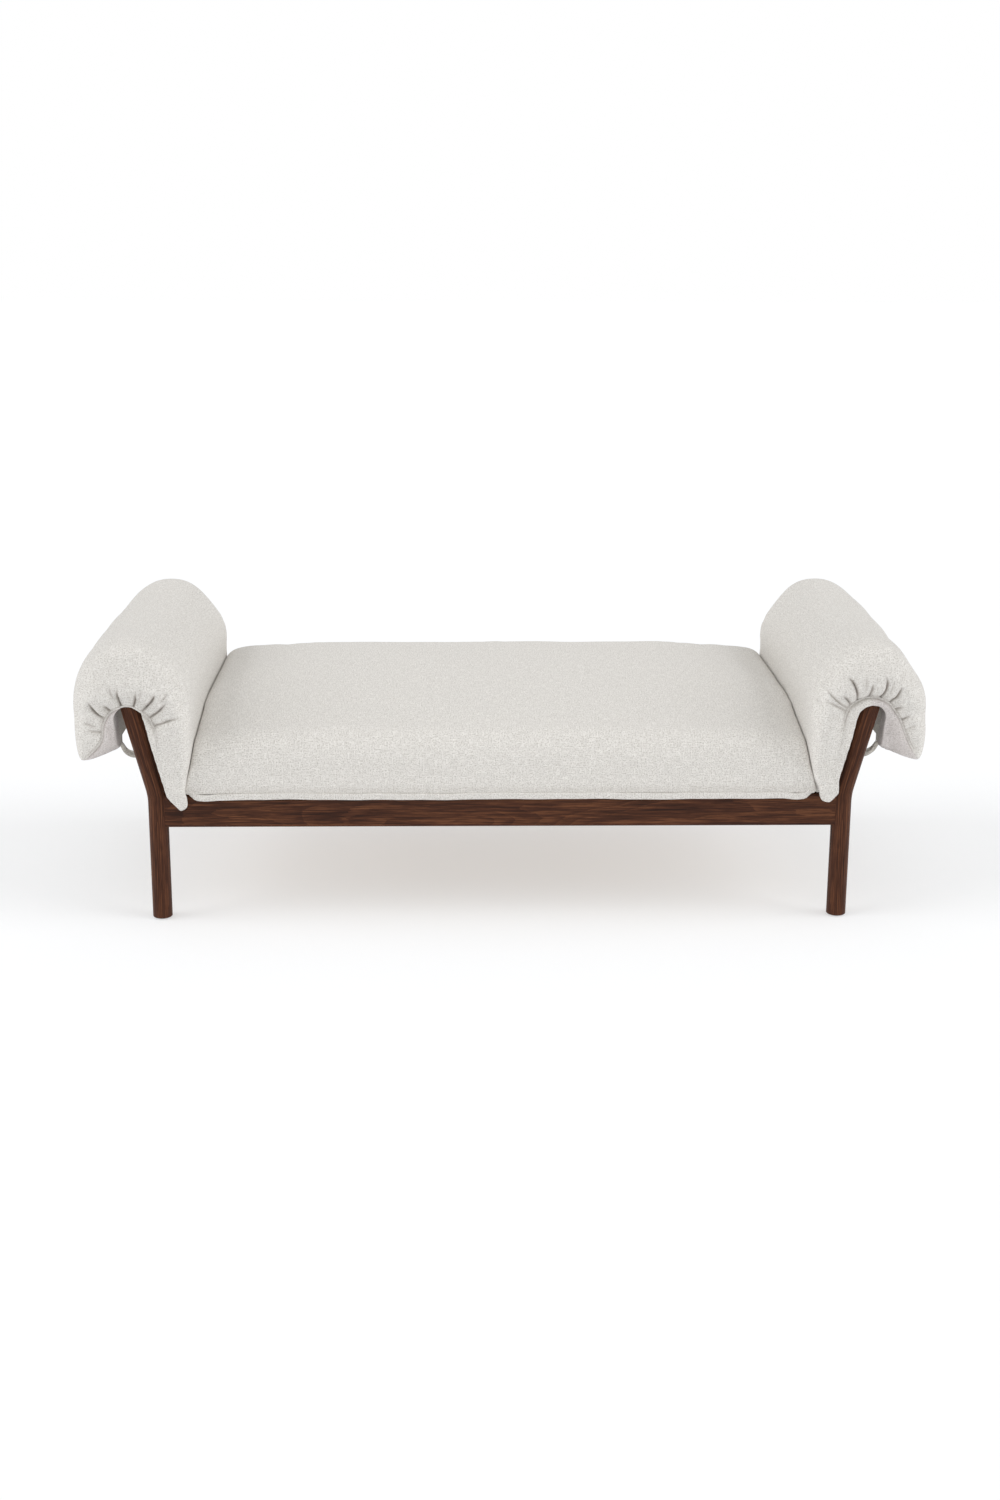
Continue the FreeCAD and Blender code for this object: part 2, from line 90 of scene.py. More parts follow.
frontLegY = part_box("front_left_leg")[0].y + view["legRadius"]
standsAt = (view["aside"], frontLegY - view["distance"], view["height"])
look = Euler((math.radians(90 - view["pitch"]), 0, math.radians(-view["turn"]))).to_matrix()
look = look @ Matrix.Rotation(math.radians(view["roll"]), 3, "Z")
bpy.ops.object.camera_add(location=standsAt, rotation=look.to_euler())
camera = bpy.context.object
camera.name = "viewCamera"
camera.data.lens = view["lens"]
camera.data.sensor_width = view["sensor"]
bpy.context.scene.camera = camera

bpy.ops.mesh.primitive_plane_add(size=studio["floorSize"], location=(0, 0, cadBox[0][2]))
floor = bpy.context.object
floor.name = "floor"
floorPaint = bpy.data.materials.new("floorPaint")
floorPaint.use_nodes = True
floorShade = floorPaint.node_tree.nodes["Principled BSDF"]
floorShade.inputs["Base Color"].default_value = studio["floorColour"]
floorShade.inputs["Roughness"].default_value = studio["floorRoughness"]
floorShade.inputs["Specular IOR Level"].default_value = studio["floorGloss"]
floorShade.inputs["Emission Color"].default_value = (1, 1, 1, 1)
floorShade.inputs["Emission Strength"].default_value = studio["floorGlow"]
floor.data.materials.append(floorPaint)

sky = bpy.data.worlds.new("softSky")
sky.use_nodes = True
skyLinks = sky.node_tree.links
skyShade = sky.node_tree.nodes["Background"]
skyShade.inputs["Color"].default_value = (1, 1, 1, 1)
seenBy = sky.node_tree.nodes.new("ShaderNodeLightPath")
strength = sky.node_tree.nodes.new("ShaderNodeMapRange")
strength.inputs["To Min"].default_value = studio["skyLight"]
strength.inputs["To Max"].default_value = studio["skySeen"]
skyLinks.new(seenBy.outputs["Is Camera Ray"], strength.inputs["Value"])
skyLinks.new(strength.outputs[0], skyShade.inputs["Strength"])
bpy.context.scene.world = sky
bpy.context.scene.view_settings.view_transform = "Standard"

for name, turn, height, power, softness, colour in studio["lamps"]:
    turn, height = math.radians(turn), math.radians(height)
    level = math.cos(height)
    fromWhere = Vector((math.sin(turn) * level, -math.cos(turn) * level, math.sin(height)))
    bpy.ops.object.light_add(type="SUN", location=fromWhere * studio["lampDistance"])
    lamp = bpy.context.object
    lamp.name = name
    lamp.data.energy = power
    lamp.data.angle = math.radians(softness)
    lamp.data.color = colour
    lamp.rotation_euler = (-fromWhere).to_track_quat("-Z", "Y").to_euler()
print("camera, floor and lights placed")


def newMaterial(name):
    material = bpy.data.materials.new(name)
    material.use_nodes = True
    tree = material.node_tree
    shader = tree.nodes["Principled BSDF"]
    return material, tree, shader


def doMath(tree, operation, first, second=None, clamp=False):
    node = tree.nodes.new("ShaderNodeMath")
    node.operation = operation
    node.use_clamp = clamp
    for socket, value in zip(node.inputs, (first, second)):
        if value is None:
            continue
        if isinstance(value, (int, float)):
            socket.default_value = value
        else:
            tree.links.new(value, socket)
    return node.outputs[0]


def mixColour(tree, factor, first, second, blend="MIX"):
    node = tree.nodes.new("ShaderNodeMix")
    node.data_type = "RGBA"
    node.blend_type = blend
    sockets = (node.inputs[0], node.inputs[6], node.inputs[7])
    for socket, value in zip(sockets, (factor, first, second)):
        if isinstance(value, (int, float, tuple)):
            socket.default_value = value
        else:
            tree.links.new(value, socket)
    return node.outputs[2]


def ramp(tree, source, stops):
    node = tree.nodes.new("ShaderNodeValToRGB")
    while len(node.color_ramp.elements) < len(stops):
        node.color_ramp.elements.new(0.5)
    for element, (place, colour) in zip(node.color_ramp.elements, stops):
        element.position = place
        grey = isinstance(colour, (int, float))
        element.color = (colour, colour, colour, 1) if grey else (*colour, 1)
    tree.links.new(source, node.inputs[0])
    return node.outputs[0]


def noiseOn(tree, vector, scale, stretch=(1, 1, 1), detail=3.0, rough=0.55, shift=(0, 0, 0)):
    mapping = tree.nodes.new("ShaderNodeMapping")
    mapping.inputs["Scale"].default_value = stretch
    mapping.inputs["Location"].default_value = shift
    tree.links.new(vector, mapping.inputs[0])
    node = tree.nodes.new("ShaderNodeTexNoise")
    node.inputs["Scale"].default_value = scale
    node.inputs["Detail"].default_value = detail
    node.inputs["Roughness"].default_value = rough
    tree.links.new(mapping.outputs[0], node.inputs["Vector"])
    return node.outputs[0]


def addBump(tree, shader, height, strength, distance):
    bump = tree.nodes.new("ShaderNodeBump")
    bump.inputs["Strength"].default_value = strength
    bump.inputs["Distance"].default_value = distance
    tree.links.new(height, bump.inputs["Height"])
    tree.links.new(bump.outputs[0], shader.inputs["Normal"])


woodLook = {
    "dark": (0.021, 0.0070, 0.0036),
    "mid": (0.066, 0.0215, 0.0098),
    "light": (0.165, 0.062, 0.026),
    "pore": (0.012, 0.0042, 0.0024),
    "roughness": 0.46,
    "wander": (7, 7, 1.6),  # slow drift of the grain over the board
    "tilt": 0.025,  # how far the rings' axis leans towards the face
    "stretch": 0.05,  # how slowly the rings change along the grain
    "heartAside": (0.075, 0.012),  # how far off the heart lies, and how much that differs by piece
    "heart": {"X": 0.255},  # height of the rails' heartwood
    "rings": 70.0,
    "ringBend": 1.4,
    "fibreGrain": (360, 360, 12),
    "streakGrain": (70, 70, 3.2),
    "poreGrain": (950, 950, 32),
    "poreEdge": (0.56, 0.66),
    "shares": (0.11, 0.80, 0.42),  # rings, fibre and streaks in the tone
    "tones": (0.46, 0.65, 0.86),
    "gloss": 0.16,
    "bump": 0.35,
    "depth": 0.0004,
    "bendHeight": 0.291,  # where the legs start to lean
    "lean": 14.5,
}


def makeWood(name, grain, colours, leaning=False, roughness=0.4, figure=1.0, seed=0.0):
    # grain is the axis the fibres follow; a leaning piece has its grain follow the bend
    material, tree, shader = newMaterial(name)
    coords = tree.nodes.new("ShaderNodeTexCoord").outputs["Object"]
    split = tree.nodes.new("ShaderNodeSeparateXYZ")
    tree.links.new(coords, split.inputs[0])
    x, y, z = split.outputs
    if leaning:
        rise = doMath(tree, "MAXIMUM", doMath(tree, "SUBTRACT", z, woodLook["bendHeight"]), 0.0)
        slope = math.tan(math.radians(woodLook["lean"]))
        x = doMath(tree, "SUBTRACT", doMath(tree, "ABSOLUTE", x), doMath(tree, "MULTIPLY", rise, slope))
    join = tree.nodes.new("ShaderNodeCombineXYZ")
    order = {"X": (y, z, x), "Y": (x, z, y), "Z": (x, y, z)}[grain]
    for socket, value in zip(join.inputs, order):
        tree.links.new(value, socket)
    flat = join.outputs[0]  # z now runs along the grain
    # slow wander of the whole board, then growth rings cut lengthways
    wander = noiseOn(tree, flat, 1.0, woodLook["wander"], 2.0, 0.5, (seed, seed * 1.7, seed * 0.6))
    bent = tree.nodes.new("ShaderNodeVectorMath")
    bent.operation = "MULTIPLY_ADD"
    tree.links.new(wander, bent.inputs[0])
    bent.inputs[1].default_value = (0.05 * figure, 0.04 * figure, 0.0)
    tree.links.new(flat, bent.inputs[2])
    # the rings' axis leans towards the face, so the face cuts them in long arches
    parts = tree.nodes.new("ShaderNodeSeparateXYZ")
    tree.links.new(bent.outputs[0], parts.inputs[0])
    leant = tree.nodes.new("ShaderNodeCombineXYZ")
    tilted = doMath(tree, "MULTIPLY", parts.outputs[2], woodLook["tilt"])
    tree.links.new(doMath(tree, "ADD", tilted, parts.outputs[0]), leant.inputs[0])
    tree.links.new(parts.outputs[1], leant.inputs[1])
    tree.links.new(doMath(tree, "MULTIPLY", parts.outputs[2], woodLook["stretch"]), leant.inputs[2])
    ringMap = tree.nodes.new("ShaderNodeMapping")
    aside, differs = woodLook["heartAside"]
    heartHeight = woodLook["heart"].get(grain, 0.0)
    ringMap.inputs["Location"].default_value = (aside + seed * differs, -heartHeight, 0.0)
    tree.links.new(leant.outputs[0], ringMap.inputs[0])
    rings = tree.nodes.new("ShaderNodeTexWave")
    rings.wave_type = "RINGS"
    rings.rings_direction = "Z"
    rings.wave_profile = "SAW"
    rings.inputs["Scale"].default_value = woodLook["rings"]
    rings.inputs["Distortion"].default_value = woodLook["ringBend"]
    rings.inputs["Detail"].default_value = 3.0
    rings.inputs["Detail Scale"].default_value = 1.2
    rings.inputs["Detail Roughness"].default_value = 0.6
    tree.links.new(ringMap.outputs[0], rings.inputs["Vector"])
    fibre = noiseOn(tree, flat, 1.0, woodLook["fibreGrain"], 4.0, 0.62, (seed, 0, 0))
    streak = noiseOn(tree, flat, 1.0, woodLook["streakGrain"], 3.0, 0.6, (0, seed, 0))
    pores = noiseOn(tree, flat, 1.0, woodLook["poreGrain"], 2.0, 0.5, (seed, seed, 0))
    closed, opened = woodLook["poreEdge"]
    pores = ramp(tree, pores, [(closed, 0.0), (opened, 1.0)])
    tone = doMath(tree, "MULTIPLY", rings.outputs["Fac"], woodLook["shares"][0])
    for layer, share in zip((fibre, streak), woodLook["shares"][1:]):
        tone = doMath(tree, "ADD", tone, doMath(tree, "MULTIPLY", layer, share))
    stains = (colours["dark"], colours["mid"], colours["light"])
    colour = ramp(tree, tone, list(zip(woodLook["tones"], stains)))
    inRings = doMath(tree, "ADD", doMath(tree, "MULTIPLY", rings.outputs["Fac"], 0.5), 0.25)
    colour = mixColour(tree, doMath(tree, "MULTIPLY", pores, inRings), colour, (*colours["pore"], 1))
    tree.links.new(colour, shader.inputs["Base Color"])
    # the fibres and the open pores are a little rougher than the lacquer on them
    sheen = doMath(tree, "ADD", doMath(tree, "MULTIPLY", fibre, 0.16), roughness - 0.08)
    rough = doMath(tree, "ADD", sheen, doMath(tree, "MULTIPLY", pores, 0.18))
    tree.links.new(rough, shader.inputs["Roughness"])
    height = doMath(tree, "SUBTRACT", doMath(tree, "MULTIPLY", fibre, 0.5), pores)
    addBump(tree, shader, height, woodLook["bump"], woodLook["depth"])
    shader.inputs["Specular IOR Level"].default_value = woodLook["gloss"]
    return material


linenLook = {
    "warm": (0.800, 0.776, 0.734),
    "cool": (0.728, 0.709, 0.678),
    "slub": (0.925, 0.905, 0.868),
    "fleck": (0.430, 0.398, 0.356),
    # painted shade: the dark mixed in along the gathers' valleys, beside the seam cords and along the seat's
    # stitching
    "foldShade": (0.330, 0.285, 0.245),
    "facing": (0.915, 0.885, 0.905),  # the turned-in side is a little pinker and darker
    "thread": 0.00115,  # spacing of the threads
    "slubGrain": (400, 52),  # across a slub and along it
    "slubEdge": (0.46, 0.66),
    "fleckGrain": (330, 380, 1),
    "fleckEdge": (0.48, 0.66),
    "hazeGrain": (260, 190, 1),
    "hazeEdge": (0.30, 0.70),
    "slubShare": 0.95,
    "fleckShare": 0.68,
    "gapShadeShare": 0.14,
    "foldShadeShare": 0.82,
    "roughness": 0.88,
    "sheen": 0.18,
    "sheenRoughness": 0.5,
    "gloss": 0.22,
    "bump": 0.85,
    "threadHeight": 0.00030,
}


def patchOn(tree, vector, grain, edge, detail, rough, shift=(0, 0, 0)):
    # noise cut into soft-edged patches
    low, high = edge
    return ramp(tree, noiseOn(tree, vector, 1.0, grain, detail, rough, shift), [(low, 0.0), (high, 1.0)])


def makeLinen(name, tint=(1.0, 1.0, 1.0)):
    # the weave follows the piece's own weave map, which is in metres
    material, tree, shader = newMaterial(name)
    weaveMap = tree.nodes.new("ShaderNodeUVMap")
    weaveMap.uv_map = "weave"
    weave = weaveMap.outputs[0]
    split = tree.nodes.new("ShaderNodeSeparateXYZ")
    tree.links.new(weave, split.inputs[0])
    turn = math.pi / linenLook["thread"]
    across = doMath(tree, "SINE", doMath(tree, "MULTIPLY", split.outputs[0], turn))
    along = doMath(tree, "SINE", doMath(tree, "MULTIPLY", split.outputs[1], turn))
    # plain weave: over one, under one
    halfCrossing = doMath(tree, "MULTIPLY", doMath(tree, "MULTIPLY", across, along), 0.5)
    warpOver = doMath(tree, "ADD", halfCrossing, 0.5)
    weftOver = doMath(tree, "SUBTRACT", 0.5, halfCrossing)
    warpLift = doMath(tree, "MULTIPLY", doMath(tree, "ABSOLUTE", across), warpOver)
    weftLift = doMath(tree, "MULTIPLY", doMath(tree, "ABSOLUTE", along), weftOver)
    lift = doMath(tree, "MAXIMUM", warpLift, weftLift)
    wide, long = linenLook["slubGrain"]
    warpSlub = patchOn(tree, weave, (wide, long, 1), linenLook["slubEdge"], 2.0, 0.5)
    weftSlub = patchOn(tree, weave, (long, wide, 1), linenLook["slubEdge"], 2.0, 0.5, (3, 5, 0))
    slub = doMath(tree, "MAXIMUM", warpSlub, weftSlub)
    fleck = patchOn(tree, weave, linenLook["fleckGrain"], linenLook["fleckEdge"], 2.0, 0.6, (7, 1, 0))
    haze = patchOn(tree, weave, linenLook["hazeGrain"], linenLook["hazeEdge"], 3.0, 0.75, (1, 9, 0))
    # painted shade in creases, read from a per-point attribute
    creaseShade = tree.nodes.new("ShaderNodeAttribute")
    creaseShade.attribute_name = "creaseShade"
    base = mixColour(tree, haze, (*linenLook["cool"], 1), (*linenLook["warm"], 1))
    for layer, share, colour in (
        (slub, "slubShare", "slub"),
        (fleck, "fleckShare", "fleck"),
        (doMath(tree, "SUBTRACT", 1.0, lift), "gapShadeShare", "fleck"),  # painted shade between the threads
        # painted shade in the creases
        (creaseShade.outputs["Fac"], "foldShadeShare", "foldShade"),
    ):
        factor = doMath(tree, "MULTIPLY", layer, linenLook[share])
        base = mixColour(tree, factor, base, (*linenLook[colour], 1))
    turnedIn = tree.nodes.new("ShaderNodeAttribute")
    turnedIn.attribute_name = "facing"
    facing = mixColour(tree, 1.0, base, (*linenLook["facing"], 1), "MULTIPLY")
    base = mixColour(tree, turnedIn.outputs["Fac"], base, facing)
    base = mixColour(tree, 1.0, base, (*tint, 1), "MULTIPLY")
    tree.links.new(base, shader.inputs["Base Color"])
    shader.inputs["Roughness"].default_value = linenLook["roughness"]
    shader.inputs["Sheen Weight"].default_value = linenLook["sheen"]
    shader.inputs["Sheen Roughness"].default_value = linenLook["sheenRoughness"]
    shader.inputs["Specular IOR Level"].default_value = linenLook["gloss"]
    height = doMath(tree, "ADD", lift, doMath(tree, "MULTIPLY", slub, 0.8))
    height = doMath(tree, "ADD", height, doMath(tree, "MULTIPLY", haze, 0.6))
    addBump(tree, shader, height, linenLook["bump"], linenLook["threadHeight"])
    return material


plainLook = {"worn": 0.72, "wearRoughness": 0.22, "smoother": 0.1, "bump": 0.2, "depth": 0.0002}


def makePlain(name, colour, roughness, metallic=0.0, grit=160.0):
    material, tree, shader = newMaterial(name)
    coords = tree.nodes.new("ShaderNodeTexCoord").outputs["Object"]
    wear = noiseOn(tree, coords, grit, (1, 1, 1), 4.0, 0.6)
    darker = tuple(c * plainLook["worn"] for c in colour)
    tree.links.new(mixColour(tree, wear, (*darker, 1), (*colour, 1)), shader.inputs["Base Color"])
    worn = doMath(tree, "MULTIPLY", wear, plainLook["wearRoughness"])
    tree.links.new(doMath(tree, "ADD", worn, roughness - plainLook["smoother"]), shader.inputs["Roughness"])
    shader.inputs["Metallic"].default_value = metallic
    addBump(tree, shader, wear, plainLook["bump"], plainLook["depth"])
    return material


softwoodLook = {
    "dark": (0.30, 0.175, 0.085),
    "mid": (0.50, 0.335, 0.185),
    "light": (0.66, 0.49, 0.31),
    "pore": (0.33, 0.20, 0.10),
    "roughness": 0.62,
}

legWood = makeWood("legWood", "Z", woodLook, leaning=True, roughness=woodLook["roughness"], seed=1.0)
railWood = makeWood("railWood", "X", woodLook, roughness=woodLook["roughness"], figure=1.6, seed=2.3)
endWood = makeWood("endWood", "Y", woodLook, roughness=woodLook["roughness"], seed=3.1)
slatWood = makeWood("slatWood", "Y", softwoodLook, roughness=softwoodLook["roughness"], seed=4.4)
cleatWood = makeWood("cleatWood", "X", softwoodLook, roughness=softwoodLook["roughness"], seed=5.2)
zincSteel = makePlain("zincSteel", (0.60, 0.58, 0.53), 0.36, metallic=1.0, grit=900.0)
darkNylon = makePlain("darkNylon", (0.055, 0.048, 0.042), 0.5, grit=700.0)
linen = makeLinen("linen")
tapeLinen = makeLinen("tapeLinen", tint=(0.86, 0.84, 0.80))


def paint(obj, material):
    obj.data.materials.clear()
    obj.data.materials.append(material)


for name, obj in nodes.items():
    if name.endswith("_leg"):
        paint(obj, legWood)
    elif name in ("front_rail", "rear_rail"):
        paint(obj, railWood)
    elif name.endswith("_end_rail") or name.endswith("_arm_bar"):
        paint(obj, endWood)
    elif "screws" in name:
        paint(obj, zincSteel)
    elif name.endswith("_glide"):
        paint(obj, darkNylon)
    elif name.startswith("slat_") or name == "middle_stretcher":
        paint(obj, slatWood)
    elif "cleat" in name or "corner_block" in name:
        paint(obj, cleatWood)
print("frame painted")


def deselectAll():
    if bpy.context.mode != "OBJECT":
        bpy.ops.object.mode_set(mode="OBJECT")
    bpy.ops.object.select_all(action="DESELECT")


def choose(obj):
    deselectAll()
    obj.select_set(True)
    bpy.context.view_layer.objects.active = obj


def getPoints(obj):
    flat = np.empty(len(obj.data.vertices) * 3, np.float64)
    obj.data.vertices.foreach_get("co", flat)
    return flat.reshape(-1, 3)


def setPoints(obj, points):
    obj.data.vertices.foreach_set("co", np.asarray(points, np.float64).ravel())
    obj.data.update()


def getNormals(obj):
    flat = np.empty(len(obj.data.vertices) * 3, np.float64)
    obj.data.vertices.foreach_get("normal", flat)
    return flat.reshape(-1, 3)


def getEdges(obj):
    flat = np.empty(len(obj.data.edges) * 2, np.int64)
    obj.data.edges.foreach_get("vertices", flat)
    return flat.reshape(-1, 2)


def relax(values, edges, rounds):
    # each point takes the mean of itself and its neighbours
    values = np.array(values, float)
    count = np.ones(len(values))
    np.add.at(count, edges[:, 0], 1)
    np.add.at(count, edges[:, 1], 1)
    shape = (-1,) + (1,) * (values.ndim - 1)
    for _ in range(rounds):
        total = values.copy()
        np.add.at(total, edges[:, 0], values[edges[:, 1]])
        np.add.at(total, edges[:, 1], values[edges[:, 0]])
        values = total / count.reshape(shape)
    return values


def smoothStep(value, low, high):
    t = np.clip((value - low) / (high - low), 0, 1)
    return t * t * (3 - 2 * t)


def ripple(points, waves, size, seed):
    # a few crossed sine waves: a soft, repeatable unevenness
    rng = np.random.default_rng(seed)
    total = np.zeros(len(points))
    for _ in range(waves):
        direction = rng.normal(size=3)
        direction /= np.linalg.norm(direction)
        length = rng.uniform(0.09, 0.26)
        total += np.sin(points @ direction * 2 * math.pi / length + rng.uniform(0, 6.28))
    return total / math.sqrt(waves) * size


def softCopy(name, node, extras, voxel):
    # a remeshed copy of a node's mesh, with the extra shapes melted into it
    mesh = nodes[node].data.copy()
    piece = bpy.data.objects.new(name, mesh)
    bpy.context.scene.collection.objects.link(piece)
    choose(piece)
    bpy.ops.object.mode_set(mode="EDIT")
    bpy.ops.mesh.select_all(action="SELECT")
    bpy.ops.mesh.remove_doubles(threshold=0.00002)
    bpy.ops.object.mode_set(mode="OBJECT")
    if extras:
        for extra in extras:
            extra.select_set(True)
        bpy.ops.object.join()
    piece.data.remesh_voxel_size = voxel
    bpy.ops.object.voxel_remesh()
    return piece


def inflate(piece, settings, cap):
    # cap is how far each point may move
    start = getPoints(piece)
    cloth = piece.modifiers.new("Cloth", "CLOTH")
    cloth.settings.quality = settings["quality"]
    cloth.settings.mass = settings["mass"]
    cloth.settings.tension_stiffness = settings["stiffness"]
    cloth.settings.compression_stiffness = settings["stiffness"]
    cloth.settings.shear_stiffness = settings["stiffness"] * 0.3
    cloth.settings.bending_stiffness = settings["bending"]
    cloth.settings.use_pressure = True
    cloth.settings.uniform_pressure_force = settings["pressure"]
    cloth.settings.effector_weights.gravity = 0
    cloth.collision_settings.use_collision = False
    cloth.point_cache.frame_start = 1
    cloth.point_cache.frame_end = settings["frames"]
    for step in range(1, settings["frames"] + 1):
        bpy.context.scene.frame_set(step)
    graph = bpy.context.evaluated_depsgraph_get()
    swollen = piece.evaluated_get(graph).to_mesh()
    flat = np.empty(len(swollen.vertices) * 3, np.float64)
    swollen.vertices.foreach_get("co", flat)
    moved = flat.reshape(-1, 3) - start
    piece.evaluated_get(graph).to_mesh_clear()
    piece.modifiers.remove(cloth)
    bpy.context.scene.frame_set(1)
    length = np.linalg.norm(moved, axis=1)
    keep = np.minimum(1.0, cap / np.maximum(length, 1e-9))
    setPoints(piece, start + moved * keep[:, None])


def subdivide(piece, levels):
    choose(piece)
    finer = piece.modifiers.new("Finer", "SUBSURF")
    finer.levels = levels
    finer.render_levels = levels
    bpy.ops.object.modifier_apply(modifier="Finer")


def refineWhere(piece, wanted):
    # splits the faces whose middle is wanted once more
    choose(piece)
    middles = np.empty(len(piece.data.polygons) * 3, np.float64)
    piece.data.polygons.foreach_get("center", middles)
    chosen = wanted(middles.reshape(-1, 3))
    piece.data.polygons.foreach_set("select", chosen)
    piece.data.vertices.foreach_set("select", np.zeros(len(piece.data.vertices), bool))
    piece.data.edges.foreach_set("select", np.zeros(len(piece.data.edges), bool))
    bpy.ops.object.mode_set(mode="EDIT")
    bpy.ops.mesh.select_mode(type="FACE")
    bpy.ops.mesh.subdivide(number_cuts=1, smoothness=0.0)
    bpy.ops.object.mode_set(mode="OBJECT")


def setAttribute(piece, name, values):
    attributes = piece.data.attributes
    attribute = attributes.get(name) or attributes.new(name, "FLOAT", "POINT")
    attribute.data.foreach_set("value", np.asarray(values, np.float32))


def addWeave(piece):
    # a weave map in metres, laid on from the six sides
    choose(piece)
    bpy.ops.object.mode_set(mode="EDIT")
    bpy.ops.mesh.select_all(action="SELECT")
    bpy.ops.uv.cube_project(cube_size=1.0)
    bpy.ops.object.mode_set(mode="OBJECT")
    piece.data.uv_layers[0].name = "weave"
    if "creaseShade" not in piece.data.attributes:
        setAttribute(piece, "creaseShade", np.zeros(len(piece.data.vertices)))


def shadeSmooth(piece):
    piece.data.polygons.foreach_set("use_smooth", np.ones(len(piece.data.polygons), bool))
    piece.data.update()


clothLook = {
    "quality": 4,
    "mass": 0.35,
    "stiffness": 12.0,
    "bending": 0.6,
    "pressure": 4.0,
    "frames": 20,
}
seatLook = {
    "voxel": 0.008,
    "cap": 0.009,  # how far the filling swells
    "endCap": 0.0012,  # less where it meets the arm pads
    "endRun": 0.09,  # length of each end that swells less
    "restShare": 0.1,  # of that swelling, what is left where it lies on the slats
    "cloth": clothLook,
    "soften": 7,  # rounds of smoothing
    "cornerRound": 0.013,  # seen from above
    "shoulder": (0.02, 0.08),  # heights between which the crown begins to lift
    "foldWidth": 0.0105,  # height of the stitching above the lower edge
    "clear": 0.0004,
    "snug": 0.0022,  # how near the ends come to the arm pads
    "crown": 0.009,  # more filling along the middle
    "endDrop": 0.004,  # the top rolls down beside the arm pads
    "ripple": 0.0009,
    "pinch": 0.0009,  # how far the stitching draws the foot in
    "pinchTall": 0.006,
    "pinchShade": 0.14,
    "fuller": 0.007,  # more filling at the ends
    "flare": 0.0165,  # the foot spreads under the arm pads
    "flareTall": 0.092,
    "fill": 0.85,
}


def makeSeat():
    low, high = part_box("seat_filling")
    coverLow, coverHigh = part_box("seat_cover")
    seat = softCopy("seatCushion", "seat_filling", [], seatLook["voxel"])
    start = getPoints(seat)
    # little room at the ends, and next to none where it lies on the slats
    toEnd = np.minimum(high.x - start[:, 0], start[:, 0] - low.x)
    cap = (seatLook["cap"] - seatLook["endCap"]) * smoothStep(toEnd, 0.0, seatLook["endRun"])
    cap += seatLook["endCap"]
    resting = seatLook["restShare"]
    cap *= resting + (1 - resting) * smoothStep(start[:, 2] - low.z, 0.006, 0.05)
    inflate(seat, seatLook["cloth"], cap)
    print("seat cushion inflated:", len(seat.data.vertices), "points")
    # the upper edges are smoothed, and most of all at the two ends
    points = getPoints(seat)
    softer = relax(points, getEdges(seat), seatLook["soften"])
    toEnd = coverHigh.x - np.abs(points[:, 0])
    z = points[:, 2] - low.z
    amount = 0.15 + 0.85 * (1 - smoothStep(toEnd, 0.01, 0.10)) * smoothStep(z, 0.03, 0.08)
    points += (softer - points) * (amount * smoothStep(z, 0.004, 0.02))[:, None]
    setPoints(seat, points)
    subdivide(seat, 1)
    points = getPoints(seat)
    # corners rounded in plan
    radius = seatLook["cornerRound"]
    for sx in (-1, 1):
        for sy in (-1, 1):
            cx, cy = sx * (coverHigh.x - radius), sy * (coverHigh.y - radius)
            dx, dy = (points[:, 0] - cx) * sx, (points[:, 1] - cy) * sy
            out = np.hypot(np.maximum(dx, 0), np.maximum(dy, 0))
            beyond = (dx > 0) & (dy > 0) & (out > radius)
            pull = np.where(beyond, radius / np.maximum(out, 1e-9), 1.0)
            points[:, 0] = np.where(pull < 1, cx + (points[:, 0] - cx) * pull, points[:, 0])
            points[:, 1] = np.where(pull < 1, cy + (points[:, 1] - cy) * pull, points[:, 1])
    # the crown, and a little unevenness
    start, end = seatLook["shoulder"]
    lift = smoothStep(points[:, 2], low.z + start, low.z + end)
    points[:, 2] += seatLook["crown"] * lift * (1 - np.abs(points[:, 0] / coverHigh.x) ** 4)
    points[:, 2] += ripple(points, 9, seatLook["ripple"], 11) * lift
    points[:, 1] += ripple(points, 9, seatLook["ripple"], 12) * lift
    # the foot is drawn in a little above the welt, as stitching does
    aboveFold = points[:, 2] - low.z - seatLook["foldWidth"]
    foot = np.exp(-((aboveFold / seatLook["pinchTall"]) ** 2))
    edge = smoothStep(np.abs(points[:, 1]), coverHigh.y - 0.02, coverHigh.y - 0.004)
    points[:, 1] -= np.sign(points[:, 1]) * seatLook["pinch"] * foot * edge
    points[:, 2] = np.maximum(points[:, 2], coverLow.z + seatLook["clear"])
    # the ends stand right up against the arm pads
    snug = coverHigh.x + seatLook["snug"]
    out = np.abs(points[:, 0])
    nearEnd = smoothStep(out, coverHigh.x - 0.05, coverHigh.x - 0.006)
    points[:, 0] += np.sign(points[:, 0]) * nearEnd * seatLook["fuller"]
    out = np.abs(points[:, 0])
    points[:, 2] -= seatLook["endDrop"] * smoothStep(out, coverHigh.x - 0.055, coverHigh.x) ** 2 * lift
    points[:, 0] = np.clip(points[:, 0], -snug, snug)
    # it fills the room that the arm pads leave where they draw in at their foot
    z = points[:, 2] - coverLow.z
    flare = np.clip((seatLook["flareTall"] - z) / seatLook["flareTall"], 0, 1) * smoothStep(z, -0.004, 0.020)
    flare *= seatLook["flare"] * smoothStep(np.abs(points[:, 0]), coverHigh.x - 0.09, coverHigh.x)
    points[:, 0] += np.sign(points[:, 0]) * flare
    setPoints(seat, points)
    # painted shade along the drawn-in stitching line above the welt
    setAttribute(seat, "creaseShade", seatLook["pinchShade"] * foot * edge)
    addWeave(seat)
    paint(seat, linen)
    shadeSmooth(seat)
    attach(seat, "seat_cushion")
    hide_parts("seat_cover", "seat_filling")
    return seat


seat = makeSeat()
print("seat cushion made")

